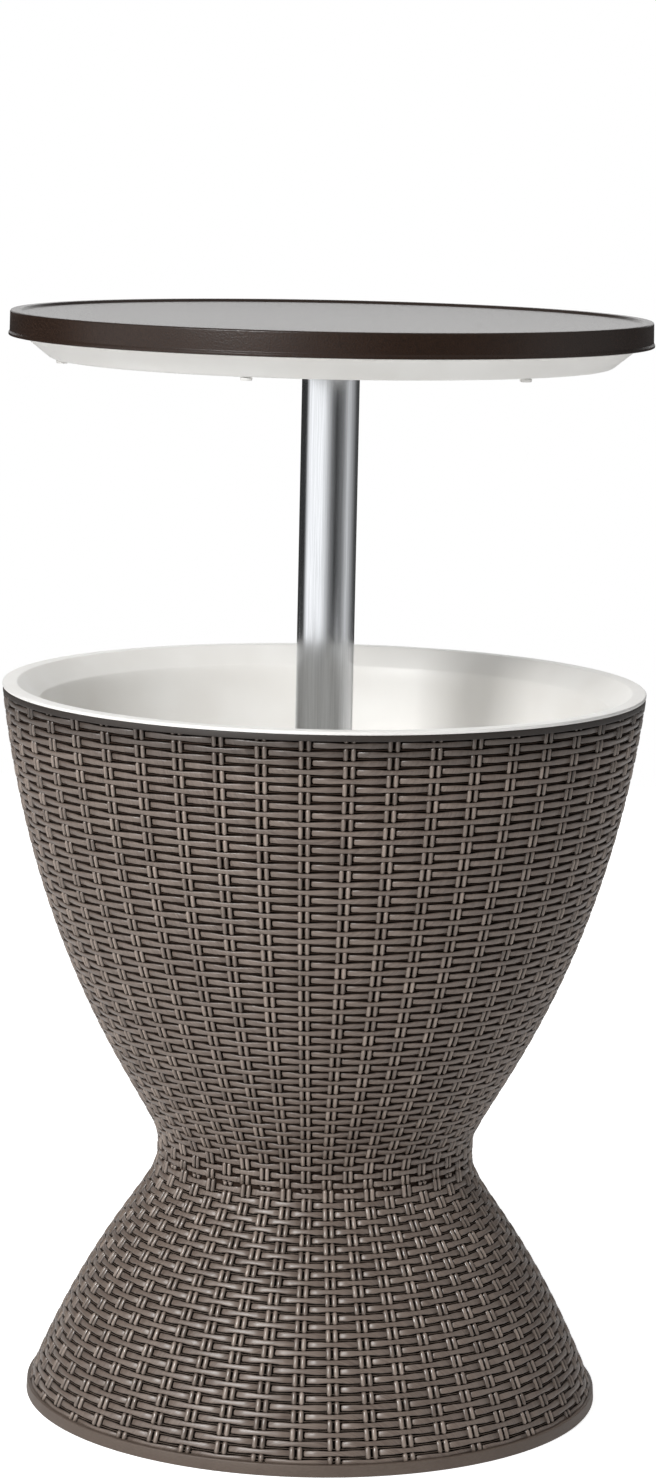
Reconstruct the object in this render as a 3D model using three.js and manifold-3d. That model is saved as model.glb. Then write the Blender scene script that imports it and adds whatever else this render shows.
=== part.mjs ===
// Ice bucket coffee table: an hourglass stand with a moulded wicker look, an ice bucket in its upper
// half, and a round top on a mast that slides down into the bucket's hollow centre column.
// Millimetres, +Z up, origin on the floor at the centre. The top is drawn raised and locked.
import * as THREE from "three";
import { mergeVertices } from "three/addons/utils/BufferGeometryUtils.js";
import Module from "manifold-3d";

const wasm = await Module();
wasm.setup();

// Overall sizes
const tableHeight = 842.4;
const tableRadius = 245;
const rimHeight = 559.3;
const rimOverTop = 2;
const rimRadius = tableRadius + rimOverTop;
const seamHeight = 191.5;
const waistRadius = 123.3;
const baseRadius = 223.4;
const mastRadius = 22;

// Clearances
const fitGap = 0.3;
const mastRunningGap = 0.4;
const bushRunningGap = 0.3;
const guideSlack = 2.3;
const overrun = 2;

// Foot skirt
const baseBandHeight = 9.5;
const baseBandDraft = 0.9;
const baseBandWall = 6;
const skirtFootRadius = 220.6;
const skirtFootLeanShare = 0.411;
const skirtFootHandleShare = 0.705;
const skirtWaistHandleShare = 0.158;
const shellWall = 4;
const flangeThickness = 4;
const flangeRadius = 96;
const skirtRibCount = 6;
const skirtRibThickness = 3;
const skirtRibDepth = 11;
const skirtRibRootShare = 0.2;

// Bowl shell
const neckHeight = 12;
const bowlBandHeight = 5.2;
const rimOverBowl = 0.4;
const bowlTopRadius = rimRadius - rimOverBowl;
const bowlTopLeanShare = 0.123;
const bowlTopHandleShare = 0.649;
const bowlNeckHandleShare = 0.072;

// Weave of both shells: pairs of upright stakes, which stand out as ridges
const stakePairCount = 48;
const stakePairTurnShare = -0.427;
const stakeRidgeHalfWidth = 5;
const stakeRidgeHeight = 1.2;

// Ice bucket: rim
const rimLipHeight = 2.6;
const rimEdgeRadius = 0.9;
const rimFlatWidth = 11;
const rimShoulderWidth = 27.5;
const rimShoulderDrop = 14.3;
const rimWall = 2.6;
const locatingRibDepth = 4.6;
const locatingRibWall = 2.4;
const locatingRibGap = 1;

// Ice bucket: wall and floor
const bucketWall = 2.8;
const bucketInset = 27;
const bucketFloorHeight = 246.5;
const floorCornerRise = 16;
const floorCornerReach = 24;
const gutterDrop = 3;
const gutterWidth = 29;
const columnFootRadius = 36;
const columnDraft = 2;
const columnWall = 2.8;
const columnHeight = 497;

// Drain
const drainCircle = 70;
const drainBore = 8;
const spoutWall = 3;
const spoutLength = 24;
const plugHeadRadius = 13;
const plugHeadHeight = 3.4;
const plugStemLength = 23.6;
const plugGripWidth = 18;
const plugGripHeight = 14;
const plugGripThickness = 5;
const sealThickness = 1.5;
const sealRadius = 12.5;

// Mast guide, its end cap, and the ring nut and gasket on the column
const guideWall = 2;
const guideOverColumn = 8;
const guideBottom = 112;
const guideCollarWidth = 4.7;
const guideCollarHeight = 4;
const capWall = 2.7;
const capDepth = 12;
const capFloor = 3;
const capVentRadius = 6;
const gasketThickness = 2;
const gasketWidth = 3.8;
const nutHeight = 16;
const nutRadius = 33;
const nutChamfer = 1.5;
const nutFluteCount = 10;
const nutFluteRadius = 3;
const nutFluteDepth = 1.3;

// Waist hub and its screws
const hubRingThickness = 4;
const hubRingWidth = 18;
const hubArmCount = 6;
const hubArmThickness = 3.6;
const hubArmHeight = 30;
const hubSocketWall = 4.7;
const hubSocketBelow = 16;
const hubBossRadius = 6;
const hubBossHeight = 12;
const waistScrewCount = 6;
const waistScrewCircle = 106;

// Screws
const screwHeadRadius = 4.4;
const screwHeadHeight = 2.4;
const screwShankRadius = 2;
const screwDomeShare = 0.6;

// Mast and its lock
const mastWall = 1.5;
const mastBottom = 430;
const camPlugLength = 25;
const camShoulder = 3;
const camRadius = 15;
const camOffset = 1.5;
const camLength = 30;
const camClearance = 0.5;
const camWasherRadius = 20;
const camWasherThickness = 3;
const camScrewLength = 18;
const camScrewRadius = 3;
const camScrewHeadRadius = 6.5;
const camScrewHeadHeight = 3;
const bushSlit = 3;
const bushChamfer = 1;
const camPinRadius = 2.2;
const camPinRise = 14;
const pinSetback = 0.4;

// Round top
const coverWall = 2.8;
const coverSkirt = 18.7;
const coverRecess = 2;
const coverLipWidth = 6.2;
const coverLipSlope = 1.8;
const coverEdgeRadius = 1.5;
const coverFlare = 1.2;
const coverFlareHeight = 3.2;
const coverSideLean = 0.3;
const coverSkirtWall = 2.8;

// White underside of the top
const panWall = 2.8;
const panDepth = 17;
const panFlangeWidth = 7;
const panStep = 2.6;
const panSlopeInset = 14;
const panSlopeRun = 13.5;
const panSlopeDrop = 9.9;
const panCornerRun = 5.6;
const lidScrewCount = 6;
const lidScrewInset = 38;
const lidScrewTurnShare = 0.217;
const lidBossRadius = 4.6;
const lidScrewGrip = 10;

// Mast head inside the top
const headFlangeRadius = 56;
const headFlangeThickness = 4;
const headSocketWall = 4.7;
const headCapThickness = 2.8;
const headRibCount = 4;
const headRibThickness = 3;
const headScrewCount = 4;
const headScrewCircle = 45;
const headScrewLength = 10;
const headBossRadius = 5.5;
const headBossHeight = 8;
const headPinRadius = 2;

// Facets
const roundSegments = 40;
const tubeSegments = 20;
const mediumSegments = 16;
const smallSegments = 8;
const curveSteps = 6;
const innerCurveSteps = 3;
const wallSteps = 4;
const cornerSteps = 2;
const bisections = 30;
const weldTolerance = 0.0005;

// Heights and radii that follow
const seamTop = seamHeight + fitGap;
const neckTop = seamTop + neckHeight;
const lipBottom = rimHeight - rimLipHeight;
const bowlTop = lipBottom - fitGap;
const bowlBandBottom = bowlTop - bowlBandHeight;
const guideBore = mastRadius + guideSlack;
const guideRadius = guideBore + guideWall;
const columnBore = guideRadius + fitGap;
const gutterHeight = bucketFloorHeight - gutterDrop;
const bucketUnderside = gutterHeight - bucketWall;
const hubBottom = seamTop + flangeThickness + fitGap;
const hubRingTop = hubBottom + hubRingThickness;
const coverBottom = tableHeight - coverSkirt;
const coverUnderside = tableHeight - coverRecess - coverWall;
const panBottom = coverBottom - panDepth;
const panFloorTop = panBottom + panWall;
const headBottom = panFloorTop + fitGap;
const headFlangeBottom = panFloorTop + headBossHeight + fitGap;
const headFlangeTop = headFlangeBottom + headFlangeThickness;
const headPinHeight = (headBottom + headFlangeBottom) / 2;
const headTop = coverUnderside - fitGap;
const headOutside = mastRadius + fitGap + headSocketWall;
const mastTop = headTop - headCapThickness - fitGap;
const camTop = mastBottom - fitGap - camShoulder;
const camBottom = camTop - camLength;
const washerTop = camBottom - fitGap;
const washerBottom = washerTop - camWasherThickness;
const sealBottom = gutterHeight + fitGap;
const plugHeadBottom = sealBottom + sealThickness + fitGap;
const nutBottom = columnHeight + fitGap + gasketThickness + fitGap;
const guideTop = columnHeight + guideOverColumn;
const lidScrewCircle = tableRadius - lidScrewInset;
const stakePairStep = (2 * Math.PI) / stakePairCount;

// Finishes: colour, roughness and metalness
const finishes = {
  wicker: { color: 0x6a5d53, roughness: 0.55, metalness: 0 },
  top: { color: 0x4a3d35, roughness: 0.6, metalness: 0 },
  white: { color: 0xeceae6, roughness: 0.35, metalness: 0 },
  mast: { color: 0xb9bcc0, roughness: 0.3, metalness: 1 },
  nylon: { color: 0x2b2b2d, roughness: 0.6, metalness: 0 },
  rubber: { color: 0x1d1d1f, roughness: 0.9, metalness: 0 },
  steel: { color: 0xa7a9ad, roughness: 0.35, metalness: 1 },
};

// A closed geometry as a solid that can be joined and cut.
function solidOf(geometry) {
  const bare = geometry.index ? geometry.toNonIndexed() : geometry.clone();
  bare.deleteAttribute("normal");
  bare.deleteAttribute("uv");
  const merged = mergeVertices(bare, weldTolerance);
  const corners = merged.index.array;
  const kept = [];
  for (let i = 0; i < corners.length; i += 3) {
    const [a, b, c] = [corners[i], corners[i + 1], corners[i + 2]];
    if (a !== b && b !== c && c !== a) kept.push(a, b, c);
  }
  const mesh = new wasm.Mesh({
    numProp: 3,
    vertProperties: merged.attributes.position.array,
    triVerts: new Uint32Array(kept),
  });
  return new wasm.Manifold(mesh);
}

// A solid as a geometry again.
function geometryOf(solid) {
  const mesh = solid.getMesh();
  const geometry = new THREE.BufferGeometry();
  geometry.setAttribute("position", new THREE.BufferAttribute(mesh.vertProperties, 3));
  geometry.setIndex(new THREE.BufferAttribute(mesh.triVerts, 1));
  geometry.computeVertexNormals();
  return geometry;
}

// A body with others joined to it and then others cut from it.
function shaped(body, added, removed) {
  let solid = solidOf(body);
  for (const geometry of added) solid = solid.add(solidOf(geometry));
  for (const geometry of removed) solid = solid.subtract(solidOf(geometry));
  return geometryOf(solid);
}

// An outline of [radius, height] points turned about the centre line. One that doesn't reach the
// centre line closes on itself.
function revolve(outline, segments = roundSegments, start = 0) {
  const points = outline.map(([radius, height]) => new THREE.Vector2(radius, height));
  if (THREE.ShapeUtils.isClockWise(points)) points.reverse();
  if (points[0].x !== 0) points.push(points[0].clone());
  return new THREE.LatheGeometry(points, segments, start).rotateX(Math.PI / 2);
}

// A turned piece with a corner at each stake pair, for what meets the woven walls.
function revolveOnPairs(outline) {
  return revolve(outline, stakePairCount, stakePairTurnShare * stakePairStep);
}

// A turned piece with a ridge along each stake pair: a crest between two feet. Between the pairs the
// wall lies lower by the height of a ridge.
function revolveWithRidges(outline) {
  const [crest, feet] = [1, 2];
  const columns = crest + feet;
  const geometry = revolve(outline, stakePairCount * columns);
  const place = geometry.getAttribute("position");
  for (let i = 0; i < place.count; i += 1) {
    const radius = Math.hypot(place.getX(i), place.getY(i));
    if (radius < weldTolerance) continue;
    const turn = Math.atan2(place.getX(i), -place.getY(i)) / stakePairStep;
    const pair = Math.round(turn);
    const side = Math.round((turn - pair) * columns);
    const angle = (pair + stakePairTurnShare) * stakePairStep + (side * stakeRidgeHalfWidth) / radius;
    const reach = radius - Math.abs(side) * stakeRidgeHeight;
    place.setXY(i, reach * Math.sin(angle), -reach * Math.cos(angle));
  }
  return geometry;
}

// A straight round bar between two heights.
function bar(radius, low, high, segments = smallSegments) {
  return revolve([[0, low], [radius, low], [radius, high], [0, high]], segments);
}

// An upright plate whose outline is drawn as [radius, height], centred on the X axis's plane.
function plate(outline, thickness) {
  const shape = new THREE.Shape(outline.map(([radius, height]) => new THREE.Vector2(radius, height)));
  const geometry = new THREE.ExtrudeGeometry(shape, { depth: thickness, bevelEnabled: false });
  return geometry.rotateX(Math.PI / 2).translate(0, thickness / 2, 0);
}

// Copies of a geometry, evenly spaced about the centre line, the first one turned by a share of a step.
function around(geometry, count, turnShare = 0) {
  const step = (2 * Math.PI) / count;
  return Array.from({ length: count }, (_, i) => geometry.clone().rotateZ((i + turnShare) * step));
}

// A point at a distance beside a rising curve, on the side of the centre line.
function offsetPoint(curve, distance, t) {
  const point = curve.getPoint(t);
  const along = curve.getTangent(t);
  return [point.x - along.y * distance, point.y + along.x * distance];
}

// The whole of a rising curve, moved sideways, from its lower end upwards.
function beside(curve, distance, steps) {
  return Array.from({ length: steps + 1 }, (_, i) => offsetPoint(curve, distance, i / steps));
}

// The part of a rising curve between two heights, moved sideways, at even heights.
function besideBetween(curve, distance, low, high, steps) {
  return Array.from({ length: steps + 1 }, (_, i) => {
    const height = low + ((high - low) * i) / steps;
    let [below, above] = [0, 1];
    for (let halving = 0; halving < bisections; halving += 1) {
      const middle = (below + above) / 2;
      if (offsetPoint(curve, distance, middle)[1] < height) below = middle;
      else above = middle;
    }
    return [offsetPoint(curve, distance, below)[0], height];
  });
}

// A rounded inside corner from one point to another, bending at a third.
function corner(from, bend, to) {
  const points = [from, bend, to].map(([radius, height]) => new THREE.Vector2(radius, height));
  const curve = new THREE.QuadraticBezierCurve(...points);
  return curve.getPoints(cornerSteps).map((point) => [point.x, point.y]);
}

// The outside of the foot skirt, from the band on the floor up to the seam at the waist.
function skirtCurve() {
  const height = seamHeight - baseBandHeight;
  const footHandle = height * skirtFootHandleShare;
  return new THREE.CubicBezierCurve(
    new THREE.Vector2(skirtFootRadius, baseBandHeight),
    new THREE.Vector2(skirtFootRadius - footHandle * skirtFootLeanShare, baseBandHeight + footHandle),
    new THREE.Vector2(waistRadius, seamHeight - height * skirtWaistHandleShare),
    new THREE.Vector2(waistRadius, seamHeight),
  );
}

// The outside of the bowl, from the top of the neck up to the plain band under the rim.
function bowlCurve() {
  const height = bowlBandBottom - neckTop;
  const topHandle = height * bowlTopHandleShare;
  return new THREE.CubicBezierCurve(
    new THREE.Vector2(waistRadius, neckTop),
    new THREE.Vector2(waistRadius, neckTop + height * bowlNeckHandleShare),
    new THREE.Vector2(bowlTopRadius - topHandle * bowlTopLeanShare, bowlBandBottom - topHandle),
    new THREE.Vector2(bowlTopRadius, bowlBandBottom),
  );
}

// The hole that a waist screw passes through in a flange.
function waistScrewHoles(low, high) {
  const hole = bar(screwShankRadius + fitGap, low, high).translate(waistScrewCircle, 0, 0);
  return around(hole, waistScrewCount, 1 / 2);
}

// Flared lower shell: a band on the floor, the woven skirt, a flange at the waist and ribs inside.
function baseSkirt() {
  const curve = skirtCurve();
  const flangeBottom = seamHeight - flangeThickness;
  const woven = revolveWithRidges([
    [0, baseBandHeight / 2],
    [skirtFootRadius, baseBandHeight / 2],
    ...beside(curve, 0, curveSteps),
    [0, seamHeight],
  ]);
  const band = revolveOnPairs([
    [0, 0],
    [baseRadius, 0],
    [baseRadius - baseBandDraft, baseBandHeight],
    [0, baseBandHeight],
  ]);
  const hollow = revolveOnPairs([
    [0, -overrun],
    [baseRadius - baseBandWall, -overrun],
    ...besideBetween(curve, shellWall, baseBandHeight, flangeBottom, innerCurveSteps),
    [flangeRadius, flangeBottom],
    [flangeRadius, seamHeight + overrun],
    [0, seamHeight + overrun],
  ]);
  const [ribLow, ribHigh] = [2 * baseBandHeight, seamHeight * (1 - skirtRibRootShare)];
  const ribOut = besideBetween(curve, shellWall / 2, ribLow, ribHigh, innerCurveSteps);
  const ribIn = besideBetween(curve, shellWall + skirtRibDepth, ribLow, ribHigh, innerCurveSteps);
  const rib = plate([...ribOut, ...ribIn.reverse()], skirtRibThickness);
  const holes = waistScrewHoles(flangeBottom - overrun, seamHeight + overrun);
  const wall = shaped(woven, [band], [hollow]);
  return shaped(wall, around(rib, skirtRibCount, 1 / 2), holes);
}

// Upper woven shell: neck with a flange on the seam, the flaring bowl, and a plain band at the top.
function bowlShell() {
  const curve = bowlCurve();
  const flangeTop = seamTop + flangeThickness;
  const bandMiddle = (bowlBandBottom + bowlTop) / 2;
  const woven = revolveWithRidges([
    [0, seamTop],
    [waistRadius, seamTop],
    ...beside(curve, 0, curveSteps + 1),
    [bowlTopRadius - stakeRidgeHeight, bandMiddle],
    [0, bandMiddle],
  ]);
  const band = revolveOnPairs([
    [0, bowlBandBottom],
    [bowlTopRadius, bowlBandBottom],
    [bowlTopRadius, bowlTop],
    [0, bowlTop],
  ]);
  const hollow = revolveOnPairs([
    [0, seamTop - overrun],
    [flangeRadius, seamTop - overrun],
    [flangeRadius, flangeTop],
    [waistRadius - shellWall, flangeTop],
    ...besideBetween(curve, shellWall, neckTop, bowlBandBottom, innerCurveSteps),
    [bowlTopRadius - shellWall, bowlTop + overrun],
    [0, bowlTop + overrun],
  ]);
  const holes = waistScrewHoles(seamTop - overrun, flangeTop + overrun);
  return shaped(woven, [band], [hollow, ...holes]);
}

// White bucket: a beaded rim over the shell, a sloped shoulder that takes the lid, a wall that
// follows the bowl, a floor with a gutter, a drain spout, and a hollow column for the mast.
function iceBucket() {
  const curve = bowlCurve();
  const wallTop = rimHeight - rimShoulderDrop;
  const [low, high] = [bucketFloorHeight + floorCornerRise, wallTop - rimWall];
  const inside = besideBetween(curve, bucketInset, low, high, wallSteps);
  const outside = besideBetween(curve, bucketInset - bucketWall, low, high, wallSteps);
  const [footRadius, footHeight] = inside[0];
  const [backRadius, backHeight] = outside[0];
  const floorRadius = footRadius - floorCornerReach;
  const ribOutside = bowlTopRadius - shellWall - locatingRibGap;
  const body = revolve([
    [columnBore, bucketUnderside],
    ...corner([floorRadius, bucketUnderside], [backRadius - floorCornerReach / 3, bucketUnderside],
      [backRadius, backHeight]),
    ...outside.slice(1),
    [rimRadius - rimFlatWidth + rimWall, lipBottom],
    [ribOutside - locatingRibWall, lipBottom],
    [ribOutside - locatingRibWall, lipBottom - locatingRibDepth],
    [ribOutside, lipBottom - locatingRibDepth],
    [ribOutside, lipBottom],
    [rimRadius, lipBottom],
    [rimRadius, rimHeight - rimEdgeRadius],
    [rimRadius - rimEdgeRadius, rimHeight],
    [rimRadius - rimFlatWidth, rimHeight],
    [rimRadius - rimShoulderWidth, wallTop],
    ...inside.reverse(),
    ...corner([footRadius, footHeight], [footRadius - floorCornerReach / 3, bucketFloorHeight],
      [floorRadius, bucketFloorHeight]).slice(1),
    [drainCircle + gutterWidth / 2, gutterHeight],
    [drainCircle - gutterWidth / 2, gutterHeight],
    [columnFootRadius, bucketFloorHeight],
    [columnBore + columnWall + columnDraft, bucketFloorHeight + floorCornerRise / 3],
    [columnBore + columnWall, columnHeight],
    [columnBore, columnHeight],
  ]);
  const spoutEnd = bucketUnderside - spoutLength;
  const spout = bar(drainBore + spoutWall, spoutEnd, gutterHeight - bucketWall / 2, mediumSegments);
  const bore = bar(drainBore, spoutEnd - overrun, gutterHeight + overrun, mediumSegments);
  return shaped(
    body,
    [spout.translate(0, -drainCircle, 0)],
    [bore.translate(0, -drainCircle, 0)],
  );
}

// Spider at the waist: a ring on the flanges, arms, and a socket that grips the mast guide and
// carries the foot of the bucket's column.
function waistHub() {
  const ringRadius = flangeRadius + hubRingWidth;
  const socketRadius = columnBore + hubSocketWall;
  const ring = revolve([
    [flangeRadius, hubBottom],
    [ringRadius, hubBottom],
    [ringRadius, hubRingTop],
    [flangeRadius, hubRingTop],
  ]);
  const socket = revolve([
    [columnBore, hubBottom - hubSocketBelow],
    [socketRadius, hubBottom - hubSocketBelow],
    [socketRadius, bucketUnderside - fitGap],
    [columnBore, bucketUnderside - fitGap],
  ], tubeSegments);
  const arm = plate([
    [socketRadius - hubSocketWall / 2, hubBottom],
    [flangeRadius + hubRingThickness, hubBottom],
    [flangeRadius + hubRingThickness, hubRingTop],
    [socketRadius - hubSocketWall / 2, hubBottom + hubArmHeight],
  ], hubArmThickness);
  const boss = bar(hubBossRadius, hubBottom, hubRingTop + hubBossHeight);
  const bosses = around(boss.translate(waistScrewCircle, 0, 0), waistScrewCount, 1 / 2);
  const holes = waistScrewHoles(hubBottom - overrun, hubRingTop + hubBossHeight - overrun);
  return shaped(ring, [socket, ...around(arm, hubArmCount), ...bosses], holes);
}

// Outer tube that the mast runs in. Its collar pulls up against the hub when the ring nut is tight.
function mastGuide() {
  const collarTop = hubBottom - hubSocketBelow - fitGap;
  return revolve([
    [guideBore, guideBottom],
    [guideRadius, guideBottom],
    [guideRadius, collarTop - guideCollarHeight],
    [guideRadius + guideCollarWidth, collarTop - guideCollarHeight],
    [guideRadius + guideCollarWidth, collarTop],
    [guideRadius, collarTop],
    [guideRadius, guideTop],
    [guideBore, guideTop],
  ], tubeSegments);
}

// Cup on the lower end of the mast guide, with a vent.
function guideCap() {
  const top = guideBottom + capDepth;
  const floorTop = guideBottom - fitGap;
  return revolve([
    [capVentRadius, floorTop - capFloor],
    [columnBore + capWall, floorTop - capFloor],
    [columnBore + capWall, top],
    [columnBore, top],
    [columnBore, floorTop],
    [capVentRadius, floorTop],
  ], tubeSegments);
}

// Rubber ring between the column's top and the ring nut.
function columnGasket() {
  const low = columnHeight + fitGap;
  return revolve([
    [columnBore, low],
    [columnBore + gasketWidth, low],
    [columnBore + gasketWidth, low + gasketThickness],
    [columnBore, low + gasketThickness],
  ], tubeSegments);
}

// Ring nut on the guide's upper end. It clamps the bucket's column, and its lip steadies the mast.
function ringNut() {
  const top = nutBottom + nutHeight;
  const lipBore = mastRadius + mastRunningGap;
  const body = revolve([
    [columnBore, nutBottom],
    [nutRadius, nutBottom],
    [nutRadius, top - nutChamfer],
    [nutRadius - nutChamfer, top],
    [lipBore, top],
    [lipBore, guideTop + fitGap],
    [columnBore, guideTop + fitGap],
  ], tubeSegments);
  const flute = bar(nutFluteRadius, nutBottom - overrun, top + overrun, smallSegments);
  flute.translate(nutRadius + nutFluteRadius - nutFluteDepth, 0, 0);
  return shaped(body, [], around(flute, nutFluteCount));
}

// Screw with a domed head. The underside of its head is at height zero and its shank points up.
function screw(shankLength, shankRadius = screwShankRadius, headRadius = screwHeadRadius,
  headHeight = screwHeadHeight) {
  return revolve([
    [0, -headHeight],
    [headRadius * screwDomeShare, -headHeight],
    [headRadius, 0],
    [shankRadius, 0],
    [shankRadius, shankLength],
    [0, shankLength],
  ], smallSegments);
}

// Plug of the drain: a stem in the spout, a head on the seal and a fin to pull.
function drainPlug() {
  const stemRadius = drainBore - fitGap;
  const headTop = plugHeadBottom + plugHeadHeight;
  const body = revolve([
    [0, plugHeadBottom - plugStemLength],
    [stemRadius - bushChamfer, plugHeadBottom - plugStemLength],
    [stemRadius, plugHeadBottom - plugStemLength + overrun],
    [stemRadius, plugHeadBottom],
    [plugHeadRadius, plugHeadBottom],
    [plugHeadRadius, headTop - bushChamfer],
    [plugHeadRadius - bushChamfer, headTop],
    [0, headTop],
  ], mediumSegments);
  const half = plugGripWidth / 2;
  const shape = new THREE.Shape();
  shape.moveTo(-half, headTop - plugHeadHeight / 2);
  shape.lineTo(half, headTop - plugHeadHeight / 2);
  shape.lineTo(half, headTop + plugGripHeight - half);
  shape.absarc(0, headTop + plugGripHeight - half, half, 0, Math.PI, false);
  const grip = new THREE.ExtrudeGeometry(shape, {
    depth: plugGripThickness,
    bevelEnabled: false,
    curveSegments: smallSegments,
  });
  return shaped(body, [grip.rotateX(Math.PI / 2).translate(0, plugGripThickness / 2, 0)], []);
}

// Flat seal between the plug's head and the gutter.
function drainSeal() {
  return revolve([
    [drainBore, sealBottom],
    [sealRadius, sealBottom],
    [sealRadius, sealBottom + sealThickness],
    [drainBore, sealBottom + sealThickness],
  ], mediumSegments);
}

// A bar across the centre line, for the pins and their holes.
function crossBar(radius, halfLength, height) {
  return bar(radius, -halfLength, halfLength).rotateY(Math.PI / 2).translate(0, 0, height);
}

// Sliding tube of the mast, with a cross hole near each end.
function mastTube() {
  const bore = mastRadius - mastWall;
  const tube = revolve([
    [bore, mastBottom],
    [mastRadius, mastBottom],
    [mastRadius, mastTop],
    [bore, mastTop],
  ], tubeSegments);
  const reach = mastRadius + overrun;
  return shaped(tube, [], [
    crossBar(camPinRadius + fitGap, reach, mastBottom + camPinRise),
    crossBar(headPinRadius + fitGap, reach, headPinHeight),
  ]);
}

// Plug in the mast's lower end, with the off-centre cam that spreads the lock bush as the mast turns.
function lockCam() {
  const plugRadius = mastRadius - mastWall - fitGap;
  const plug = revolve([
    [0, camTop],
    [mastRadius, camTop],
    [mastRadius, camTop + camShoulder],
    [plugRadius, camTop + camShoulder],
    [plugRadius, mastBottom + camPlugLength],
    [0, mastBottom + camPlugLength],
  ], tubeSegments);
  const cam = bar(camRadius, camBottom, camTop + camShoulder / 2, mediumSegments);
  return shaped(plug, [cam.translate(camOffset, 0, 0)], [
    bar(camScrewRadius + fitGap, camBottom - overrun, washerBottom + camScrewLength + overrun),
    crossBar(camPinRadius + fitGap, mastRadius + overrun, mastBottom + camPinRise),
  ]);
}

// Split bush round the cam. It grips the guide's bore when the cam presses it out.
function lockBush() {
  const outside = guideBore - bushRunningGap;
  const bore = camRadius + camOffset + camClearance;
  const [low, high] = [camBottom + fitGap, camTop - fitGap];
  const body = revolve([
    [bore, low],
    [outside - bushChamfer, low],
    [outside, low + bushChamfer],
    [outside, high - bushChamfer],
    [outside - bushChamfer, high],
    [bore, high],
  ], tubeSegments);
  const slit = new THREE.BoxGeometry(outside + overrun, bushSlit, high - low + 2 * overrun);
  slit.translate(-(outside + overrun) / 2, 0, (low + high) / 2);
  return shaped(body, [], [slit]);
}

// Washer that keeps the bush on the cam.
function camWasher() {
  const bore = camScrewRadius + fitGap;
  return revolve([
    [bore, washerBottom],
    [camWasherRadius, washerBottom],
    [camWasherRadius, washerTop],
    [bore, washerTop],
  ], tubeSegments);
}

// Socket inside the top that takes the mast: a capped cup with a cross hole, and a ribbed flange
// that is screwed down on the pan's bosses.
function mastHead() {
  const bore = mastRadius + fitGap;
  const body = revolve([
    [0, headTop],
    [headOutside, headTop],
    [headOutside, headFlangeTop],
    [headFlangeRadius, headFlangeTop],
    [headFlangeRadius, headFlangeBottom],
    [headOutside, headFlangeBottom],
    [headOutside, headBottom],
    [bore, headBottom],
    [bore, headTop - headCapThickness],
    [0, headTop - headCapThickness],
  ], tubeSegments);
  const rib = plate([
    [bore + headSocketWall / 2, headFlangeTop - headFlangeThickness / 2],
    [headFlangeRadius - headFlangeThickness, headFlangeTop - headFlangeThickness / 2],
    [headFlangeRadius - headFlangeThickness, headFlangeTop],
    [bore + headSocketWall / 2, headTop - headCapThickness],
  ], headRibThickness);
  const hole = bar(screwShankRadius + fitGap, headFlangeBottom - overrun, headFlangeTop + overrun);
  return shaped(body, around(rib, headRibCount), [
    ...around(hole.translate(headScrewCircle, 0, 0), headScrewCount, 1 / 2),
    crossBar(headPinRadius + fitGap, headOutside + overrun, headPinHeight),
  ]);
}

// Brown round top: a recessed field in a raised lip, a leaning skirt with a flared edge, and the
// bosses that the pan is screwed to.
function tabletopCover() {
  const sideTop = tableRadius - coverFlare;
  const skirtInside = tableRadius - coverSkirtWall;
  const body = revolve([
    [0, tableHeight - coverRecess],
    [sideTop - coverEdgeRadius - coverLipWidth - coverLipSlope, tableHeight - coverRecess],
    [sideTop - coverEdgeRadius - coverLipWidth, tableHeight],
    [sideTop - coverEdgeRadius, tableHeight],
    [sideTop - coverEdgeRadius / 3, tableHeight - coverEdgeRadius / 3],
    [sideTop, tableHeight - coverEdgeRadius],
    [sideTop + coverSideLean, coverBottom + coverFlareHeight],
    [tableRadius, coverBottom + coverFlareHeight / 2],
    [tableRadius, coverBottom],
    [skirtInside, coverBottom],
    [skirtInside - coverFlare, coverBottom + coverFlareHeight],
    [skirtInside - coverFlare, coverUnderside],
    [0, coverUnderside],
  ]);
  const boss = bar(lidBossRadius, panFloorTop + fitGap, coverUnderside + coverWall / 2);
  const hole = bar(screwShankRadius + fitGap, panBottom, panFloorTop + lidScrewGrip + overrun);
  return shaped(
    body,
    around(boss.translate(lidScrewCircle, 0, 0), lidScrewCount, lidScrewTurnShare),
    around(hole.translate(lidScrewCircle, 0, 0), lidScrewCount, lidScrewTurnShare),
  );
}

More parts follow.
